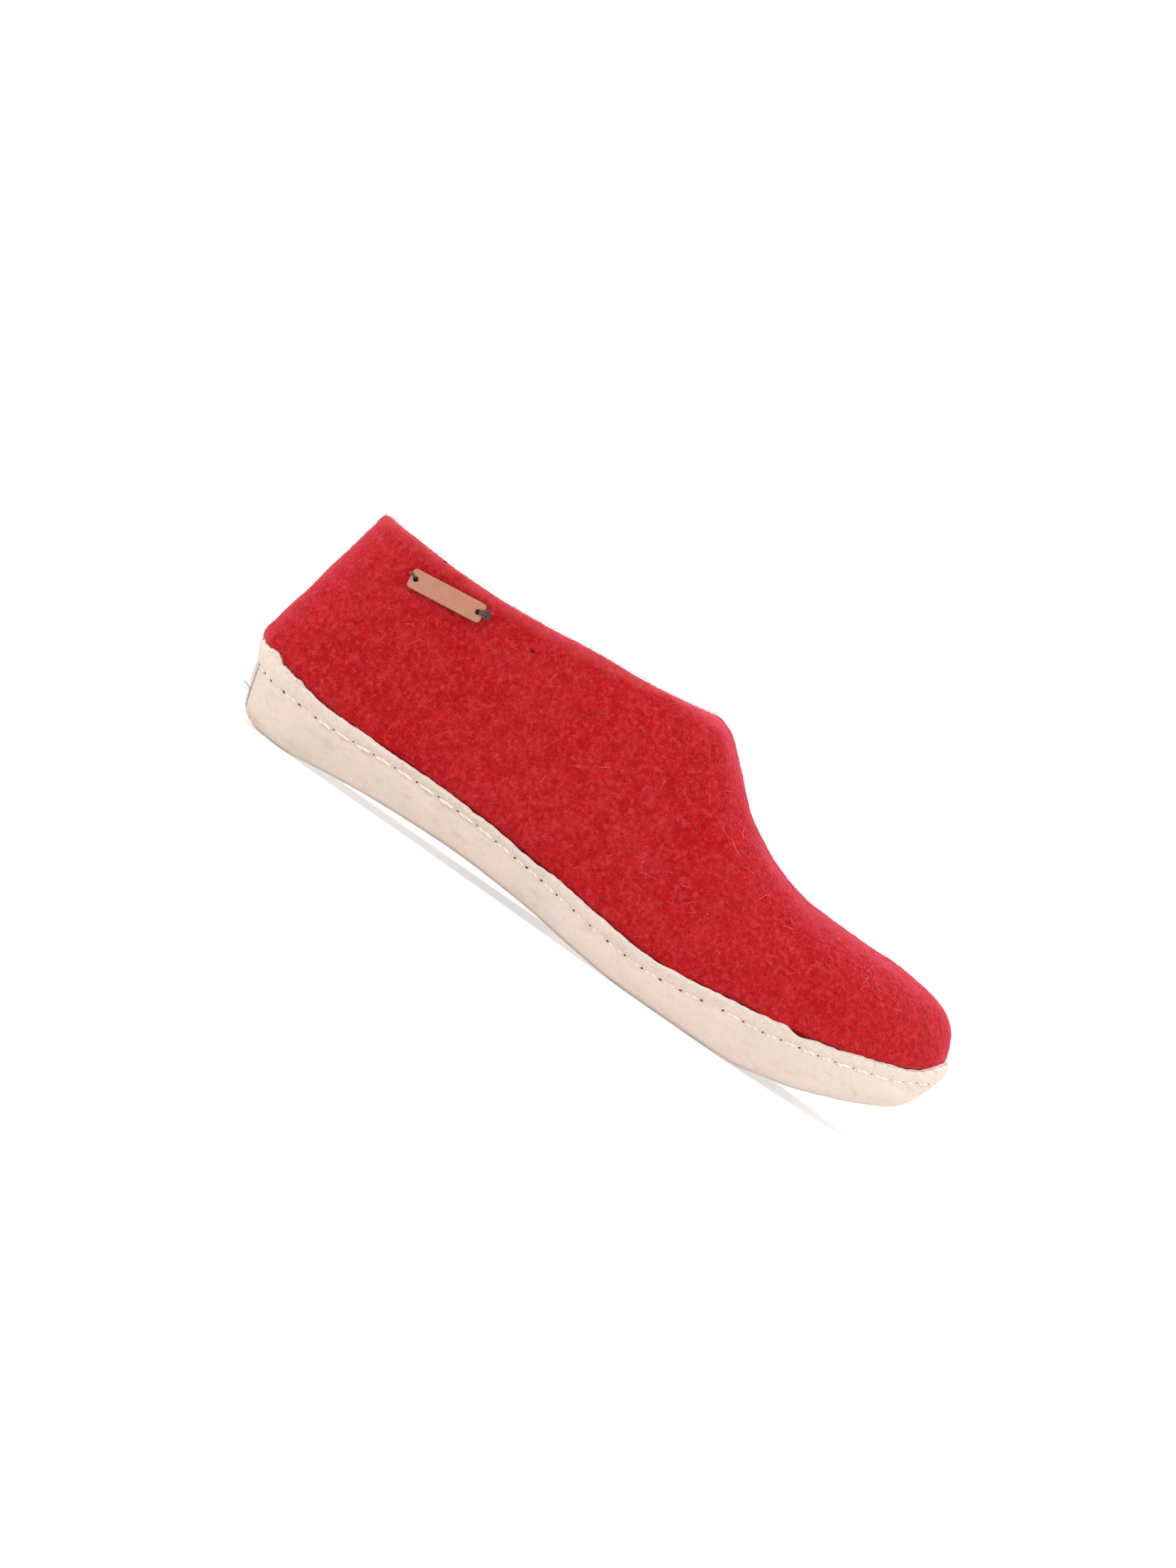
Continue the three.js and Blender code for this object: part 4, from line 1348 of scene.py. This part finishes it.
def tag_threads():
    """The threads that tie the tag down: two plies at the rear, and three with a dark knot in front."""
    centre, along, up, out, half = tag_frame()
    material = thread_finish("tag_thread", linear(122, 100, 96), linear(44, 26, 26))
    back = centre - out * half[2]
    hole = half[0] - TAG_HOLE_INSET * MM
    top = out * (2 * half[2] + (TAG_THREAD / 2 + 0.1) * MM)
    plies = {
        "tag_thread_rear": ("tag_stitch_rear", -1, [(-0.2, 0.4, -2.5, 1.8), (-0.5, 0.2, -3.0, 1.2)]),
        "tag_thread_front": (
            "tag_stitch_front",
            1,
            [(0.2, 0.5, 3.2, 2.2), (0.4, 0.2, 3.7, 1.1), (0.3, 0.0, 3.5, 0.2), (0.4, -0.3, 3.4, -0.8)],
        ),
    }
    for name, (node, end, routes) in plies.items():
        joined = Joined()
        # A dark disc in each hole: painted shade in the hole round the thread.
        points, faces = lens(back + along * end * hole + out * 0.3 * MM, out, 0.86 * MM, 0.12 * MM, 16)
        joined.add(points, faces, 1.0)
        for from_x, from_y, to_x, to_y in routes:
            start = back + along * (end * hole + from_x * MM) + up * from_y * MM
            finish = back + along * (end * hole + to_x * MM) + up * to_y * MM
            path = over_edge(start, finish, top)
            joined.add(*tube(path, TAG_THREAD / 2 * MM, 10, profile=capsule, twist=9.0, plies=2))
        if end == 1:
            for dx, dy, size, seed in ((3.3, 1.3, 0.75, 7), (3.5, 0.1, 0.85, 9), (3.0, -0.7, 0.5, 12)):
                knot = back + along * (hole + dx * MM) + up * dy * MM + top * 0.5
                points, faces = blob(knot, size * MM, 0.8, out, seed)
                joined.add(points, faces, 0.75)
        piece = joined.piece(name, material, "thread", "groove")
        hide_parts(node)


# The stage


def camera():
    """The photograph's view: from the outer side, just above level, rolled so that the toe points down."""
    turn, tilt = CAMERA_ROLL, CAMERA_ELEVATION
    ahead = Vector((0, math.cos(tilt), -math.sin(tilt)))
    level_up = Vector((0, math.sin(tilt), math.cos(tilt)))
    right = Vector((math.cos(turn), 0, 0)) + level_up * math.sin(turn)
    up = Vector((-math.sin(turn), 0, 0)) + level_up * math.cos(turn)
    data = bpy.data.cameras.new("camera")
    data.sensor_fit = "VERTICAL"
    data.sensor_width = SENSOR
    data.sensor_height = SENSOR
    data.lens = SENSOR * CAMERA_DISTANCE / (PHOTO_HEIGHT * PIXEL)
    data.clip_start = 0.05
    data.clip_end = 50
    obj = bpy.data.objects.new("camera", data)
    matrix = Matrix((right, up, -ahead)).transposed().to_4x4()
    matrix.translation = CAMERA_TARGET - ahead * CAMERA_DISTANCE
    obj.matrix_world = matrix
    bpy.context.scene.collection.objects.link(obj)
    bpy.context.scene.camera = obj


def area_light(name, place, size, power):
    """A soft light at a place, turned to the shoe."""
    data = bpy.data.lights.new(name, "AREA")
    data.shape = "DISK"
    data.size = size
    data.energy = power
    obj = bpy.data.objects.new(name, data)
    obj.location = place
    obj.rotation_euler = (Vector((0, 0, 0.04)) - Vector(place)).to_track_quat("-Z", "Y").to_euler()
    bpy.context.scene.collection.objects.link(obj)


def stage():
    """A white floor in a white room, with soft light from above and in front."""
    white = Finish(
        "white_floor",
        Base_Color=(0.45, 0.45, 0.45, 1),
        Emission_Color=(1, 1, 1, 1),
        Emission_Strength=0.58,
        Roughness=0.9,
        Specular_IOR_Level=0.0,
    )
    mesh = bpy.data.meshes.new("floor")
    wide = 12
    corners = [(-wide, -wide, 0), (wide, -wide, 0), (wide, wide, 0), (-wide, wide, 0)]
    mesh.from_pydata(corners, [], [(0, 1, 2, 3)])
    new_object("floor", mesh, white.material)
    world = bpy.data.worlds.new("room")
    world.use_nodes = True
    background = world.node_tree.nodes["Background"]
    background.inputs["Color"].default_value = (1, 1, 1, 1)
    background.inputs["Strength"].default_value = 1.0
    bpy.context.scene.world = world
    bpy.context.scene.view_settings.view_transform = "Standard"
    area_light("key", (-0.6, -1.8, 1.2), 0.9, 4)
    area_light("heel", (-1.5, -0.3, 0.9), 0.8, 9.5)
    area_light("toe", (1.5, -0.4, 0.9), 0.8, 11)
    area_light("back", (0.5, 1.3, 1.6), 1.2, 9)


stage()
camera()
sole, needle_holes, lip_height = suede_sole()
upper = felt_upper(lip_height)
felt_insole()
upper_tree = tree_of(upper)
sole_tree = tree_of(sole)
sole_stitches(needle_holes)
sole_pinholes(needle_holes, sole_tree)
suede_nap(sole, lip_height)
heel_seam_fuzz(sole_tree)
felt_fuzz(upper)
pale_hairs(upper_tree)
flecks(upper_tree)
leather_tag()
tag_threads()
